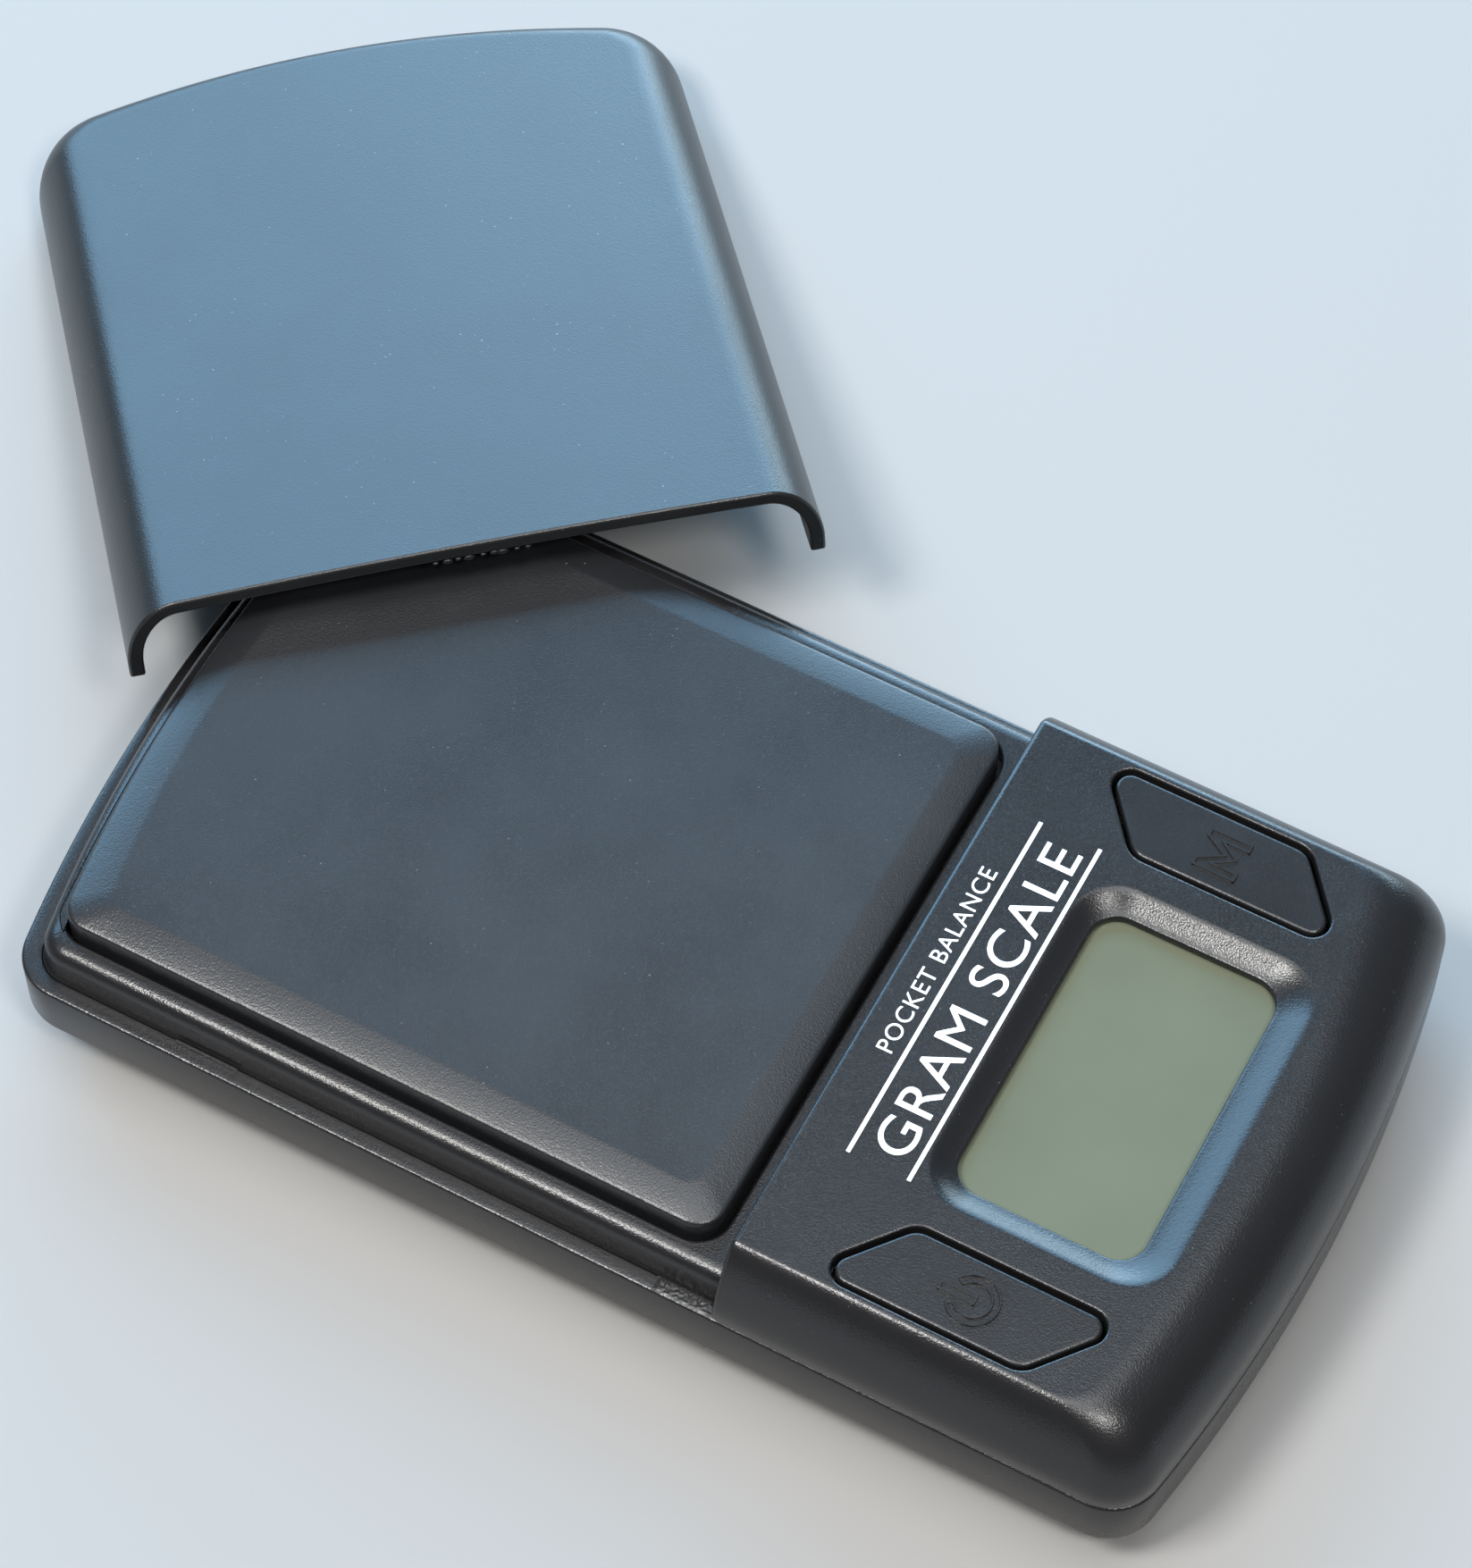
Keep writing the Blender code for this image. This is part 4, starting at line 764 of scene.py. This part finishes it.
def make_platform():
    low, high, half_width, corner = PLATFORM

    def tray_plan(inset):
        size = max(corner - inset * 0.35, LEAST_CORNER)
        return plan(low + inset, high - inset, half_width - inset, (PLATFORM_BOW, 0.0), (size, size))

    bm = bmesh.new()
    edge_z = PLATFORM_Z - 0.62
    rings = [(1.3, 15.5), (0.0, 15.5), (0.0, 17.0), (0.0, edge_z - 0.5), (0.03, edge_z - 0.3),
             (0.12, edge_z - 0.13), (0.27, edge_z - 0.03), (0.5, edge_z + 0.04)]
    for part in (0.15, 0.3, 0.45, 0.6, 0.75, 0.85, 0.93, 1.0):
        smooth = part * (2 - part) * 0.35 + part * 0.65
        rings.append((0.5 + 3.0 * part, edge_z + 0.04 + 0.58 * smooth))
    rings += [(3.7, PLATFORM_Z + 0.002), (4.1, PLATFORM_Z)]
    strip(bm, [at(tray_plan(inset), z) for inset, z in rings])
    sheet(bm, tray_plan(4.1), [], PLATFORM_Z)
    return done("weighing_tray", bm, TRAY, "platform", ["weighing_platform"])


# ---------------------------------------------------------------- buttons

def ring_mesh(bm, centre, outer, inner, z_low, z_high, start, end, steps=40):
    """Raised open ring on a button."""
    lift = RIDGE_LIFT
    rings = []
    for radius, z in ((outer, z_low), (outer, z_high - lift), (outer - lift, z_high),
                      (inner + lift, z_high), (inner, z_high - lift), (inner, z_low)):
        rings.append(at(arc(centre, radius, start, end, steps), z))
    strip(bm, rings, closed=False)


def bar_mesh(bm, start, end, width, z_low, z_high):
    """Raised straight stroke with square ends."""
    a, b = Vector(start), Vector(end)
    along = (b - a).normalized()
    across = Vector((-along.y, along.x)) * (width / 2)
    lift = RIDGE_LIFT
    outline = [a - across, b - across, b + across, a + across]
    middle = (a + b) / 2
    small = [p + (middle - p).normalized() * lift for p in outline]
    strip(bm, [at([tuple(p) for p in outline], z_low), at([tuple(p) for p in outline], z_high - lift),
               at([tuple(p) for p in small], z_high)])
    sheet(bm, [tuple(p) for p in small], [], z_high)


def add_ridge(bm, outline, low, high):
    """Thin raised line round a closed outline; each side stands a hair lower than the one before."""
    for i, start in enumerate(outline):
        end = outline[(i + 1) % len(outline)]
        way = (Vector(end) - Vector(start)).normalized() * (RIDGE / 2)
        first, last = Vector(start) - way, Vector(end) + way
        bar_mesh(bm, tuple(first), tuple(last), RIDGE, low, high - 0.002 * i)


def add_power_symbol(bm):
    """Outlined ring, open towards the window, with an outlined bar in its gap."""
    low, high = RIDGE_Z
    start, end = POWER_GAP - math.pi, math.pi - POWER_GAP
    for radius in POWER_RADII:
        ring_mesh(bm, POWER_CENTRE, radius, radius - RIDGE, low, high, start, end)
    for angle in (start, end):
        way = Vector((math.cos(angle), math.sin(angle)))
        ends = [tuple(Vector(POWER_CENTRE) + way * radius) for radius in (1.85, 2.65)]
        bar_mesh(bm, *ends, RIDGE, low, high - 0.003)
    add_ridge(bm, POWER_BAR, low, high - 0.006)


def add_mode_symbol(bm):
    """Outlined letter M."""
    low, high = RIDGE_Z
    top, foot, left, right, stroke = 37.6, 41.9, 24.7, 29.1, 0.8
    middle = (left + right) / 2
    half = [(foot, left), (top, left), (top, left + stroke), (foot - 1.9, middle)]
    inside = [(foot, left + stroke), (top + 1.5, left + stroke), (foot - 0.7, middle)]
    outline = half + [(x, left + right - y) for x, y in reversed(half[:-1])]
    outline += [(x, left + right - y) for x, y in inside[:-1]] + list(reversed(inside))
    add_ridge(bm, outline, low, high)


def make_button(side, word, add_symbol):
    bm = bmesh.new()
    edge = BUTTON_EDGE
    rings = [(button_plan(side, -BUTTON_HALF_GAP), BUTTON_Z - BUTTON_SKIRT),
             (button_plan(side, -BUTTON_HALF_GAP), BUTTON_Z - edge)]
    for turn in quarter_turns(5)[1:]:
        rings.append((button_plan(side, -BUTTON_HALF_GAP - edge * (1 - math.cos(turn))),
                      BUTTON_Z - edge + edge * math.sin(turn)))
    guard = button_plan(side, -BUTTON_HALF_GAP - edge - 0.1)
    rings.append((guard, BUTTON_Z))
    strip(bm, [at(outline, z) for outline, z in rings])
    sheet(bm, guard, [], BUTTON_Z)
    add_symbol(bm)
    node = f"{word}_button"
    return done(f"{word}_key", bm, BUTTON, node, [node], weld=0.0005)


# ---------------------------------------------------------------- window and print

def make_pane(name, reach, corner, z_range, material, node):
    """Flat plate behind the window, reaching past its edges."""
    low, high = z_range
    outline = plan(WINDOW[0] - reach, WINDOW[1] + reach, WINDOW[2] + reach, (0.0, 0.0), (corner, corner))
    bm = bmesh.new()
    strip(bm, [at(outline, low), at(outline, high)])
    sheet(bm, outline, [], low)
    sheet(bm, outline, [], high)
    return done(name, bm, material, "scale", [node])


def make_window():
    low, high = WINDOW_Z - 0.95, WINDOW_Z - 0.6
    make_pane("clear_window_pane", 1.0, 2.0, (low, high), CLEAR, "lcd_window")
    make_pane("lcd_panel", 0.9, 1.6, (low - 1.3, low - 0.15), LCD, "lcd_glass")


def flat_text(words, size, x, y, spacing, stretch):
    """Outline of a line of print that reads along +Y with its head towards -X."""
    curve = bpy.data.curves.new("print", "FONT")
    curve.body = words
    curve.size = size
    curve.extrude = PRINT_DEPTH
    curve.offset = size * 0.001
    curve.space_character = spacing
    curve.align_x = "CENTER"
    guide = bpy.data.objects.new("print", curve)
    bpy.context.scene.collection.objects.link(guide)
    bpy.context.view_layer.update()
    mesh = bpy.data.meshes.new_from_object(guide.evaluated_get(bpy.context.evaluated_depsgraph_get()))
    bpy.data.objects.remove(guide, do_unlink=True)
    place = Matrix.Translation((x, y, HOOD_Z + PRINT_DEPTH)) @ Matrix.Rotation(math.pi / 2, 4, "Z")
    mesh.transform(place @ Matrix.Diagonal((stretch, 1.0, 1.0, 1.0)))
    return mesh


def make_print():
    bm = bmesh.new()
    for line in PRINT_LINES:
        mesh = flat_text(*line)
        bm.from_mesh(mesh)
        bpy.data.meshes.remove(mesh)
    for x in RULES_X:
        bar_mesh(bm, (x, RULE_Y[0]), (x, RULE_Y[1]), RULE_WIDTH, HOOD_Z - 0.01, HOOD_Z + 0.03)
    return done("hood_print", bm, PRINT, "scale", weld=0.0002, sharp=20.0)


# ---------------------------------------------------------------- cover

def cover_ring(side, end, z, share):
    """U-shaped line round the cover, from the near side of its open end to the far side."""
    corner = max(COVER_CORNER - side * 0.75, 1.2)
    half_width = COVER_HALF_W - side
    corner = min(corner, half_width * 0.6)
    line = bowed_end(COVER_LENGTH - end, half_width, COVER_BOW, corner)
    ring = []
    for x, y in [(0.0, -half_width)] + line + [(0.0, half_width)]:
        part = min(abs(y) / (COVER_HALF_W - COVER_SIDE), 1.0)
        ring.append((x, y, z + COVER_CROWN * (1 - part * part) * share))
    return ring


def cover_rings(inset):
    rings = [cover_ring(inset, inset, -COVER_HEIGHT, 0.0)]
    for turn in quarter_turns(14):
        side = inset + (COVER_SIDE - inset) * (1 - math.cos(turn))
        end = inset + (COVER_END - inset) * (1 - math.cos(turn))
        z = -inset - (COVER_RISE - inset) * (1 - math.sin(turn))
        rings.append(cover_ring(side, end, z, math.sin(turn)))
    for extra in COVER_TOP_INSETS:
        rings.append(cover_ring(COVER_SIDE + extra, COVER_END + extra, -inset, 1.0))
    return rings


def make_gate_scar(place):
    """Row of torn plastic left by the mould at the middle of the open edge."""
    bm = bmesh.new()
    dice = random.Random(4)
    for i in range(SCAR_BLOBS):
        y = -5.4 + 1.15 * i + dice.uniform(-0.2, 0.2)
        size = dice.uniform(0.35, 0.75)
        blob = bmesh.ops.create_uvsphere(bm, u_segments=12, v_segments=8, radius=0.5)["verts"]
        bmesh.ops.scale(bm, vec=(0.45, size * 1.7, size), verts=blob)
        bmesh.ops.translate(bm, vec=(0.2, y, 0.42 - COVER_WALL - dice.uniform(0.0, 0.2)), verts=blob)
    return done("cover_gate_scar", bm, COVER, "cover", matrix=place, weld=0.0001)


def make_cover():
    bm = bmesh.new()
    skins = [cover_rings(inset) for inset in (0.0, COVER_WALL)]
    for rings in skins:
        last = strip(bm, rings, closed=False)
        bmesh.ops.contextual_create(bm, geom=last)
    strip(bm, [skins[0][0], skins[1][0]], closed=False)
    mouths = [[ring[0] for ring in rings] + [ring[-1] for ring in reversed(rings)] for rings in skins]
    strip(bm, mouths, closed=False)
    place = (Matrix.Translation(COVER_PLACE) @ Matrix.Rotation(COVER_TURN, 4, "Z")
             @ Matrix.Rotation(COVER_TILT, 4, "Y"))
    cover = done("lift_off_cover", bm, COVER, "cover", ["cover"], matrix=place, sharp=35.0)
    make_gate_scar(place)
    bevel = cover.modifiers.new("worn_edge", "BEVEL")
    bevel.width = 0.3 * MM
    bevel.segments = 3
    bevel.limit_method = "ANGLE"
    bevel.angle_limit = math.radians(50)
    return cover


# ---------------------------------------------------------------- room, light and camera

def make_room():
    floor_mesh = bpy.data.meshes.new("floor")
    bm = bmesh.new()
    bmesh.ops.create_grid(bm, x_segments=1, y_segments=1, size=4.0)
    bm.to_mesh(floor_mesh)
    bm.free()
    floor = bpy.data.objects.new("floor", floor_mesh)
    bpy.context.scene.collection.objects.link(floor)
    material, tree, shader = start_material("floor_paper", FLOOR_COLOUR)
    shader.inputs["Roughness"].default_value = 0.9
    side = tree.nodes.new("ShaderNodeNewGeometry").outputs["Backfacing"]
    tree.links.new(math_node(tree, "SUBTRACT", 1.0, side), shader.inputs["Alpha"])
    floor.data.materials.append(material)

    world = bpy.data.worlds.new("soft_room")
    bpy.context.scene.world = world
    world.use_nodes = True
    background = world.node_tree.nodes["Background"]
    background.inputs["Color"].default_value = ROOM_COLOUR
    background.inputs["Strength"].default_value = ROOM_STRENGTH


def add_light(name, azimuth, elevation, distance, size, power, colour):
    """Softbox aimed at the object."""
    light = bpy.data.lights.new(name, "AREA")
    light.shape = "RECTANGLE"
    light.size, light.size_y = size
    light.energy = power
    light.color = colour
    lamp = bpy.data.objects.new(name, light)
    bpy.context.scene.collection.objects.link(lamp)
    a, e = math.radians(azimuth), math.radians(elevation)
    way = Vector((math.cos(a) * math.cos(e), math.sin(a) * math.cos(e), math.sin(e)))
    lamp.location = Vector(LIGHT_TARGET) + way * distance
    lamp.rotation_euler = way.to_track_quat("Z", "Y").to_euler()
    return lamp


def make_lights():
    for light in LIGHTS:
        add_light(*light)


def make_camera():
    camera = bpy.data.cameras.new("camera")
    camera.lens = CAMERA_LENS
    camera.sensor_width = 36.0
    camera.dof.use_dof = False
    camera.clip_start = 0.01
    holder = bpy.data.objects.new("camera", camera)
    bpy.context.scene.collection.objects.link(holder)
    turn, lift = CAMERA_TURN, CAMERA_LIFT
    right = Vector((math.cos(turn), math.sin(turn), 0.0))
    back = Vector((math.sin(turn) * math.cos(lift), -math.cos(turn) * math.cos(lift), math.sin(lift)))
    up = back.cross(right)
    place = Vector(CAMERA_PLACE) * MM + SHIFT
    holder.matrix_world = Matrix((
        (right.x, up.x, back.x, place.x),
        (right.y, up.y, back.y, place.y),
        (right.z, up.z, back.z, place.z),
        (0.0, 0.0, 0.0, 1.0)))
    bpy.context.scene.camera = holder


bpy.context.scene.view_settings.view_transform = "Standard"
dress_nodes()
make_lower_case()
make_ledge_marks()
make_upper_case()
make_platform()
make_button(-1, "power", add_power_symbol)
make_button(1, "mode", add_mode_symbol)
make_window()
make_print()
make_cover()
make_room()
make_lights()
make_camera()
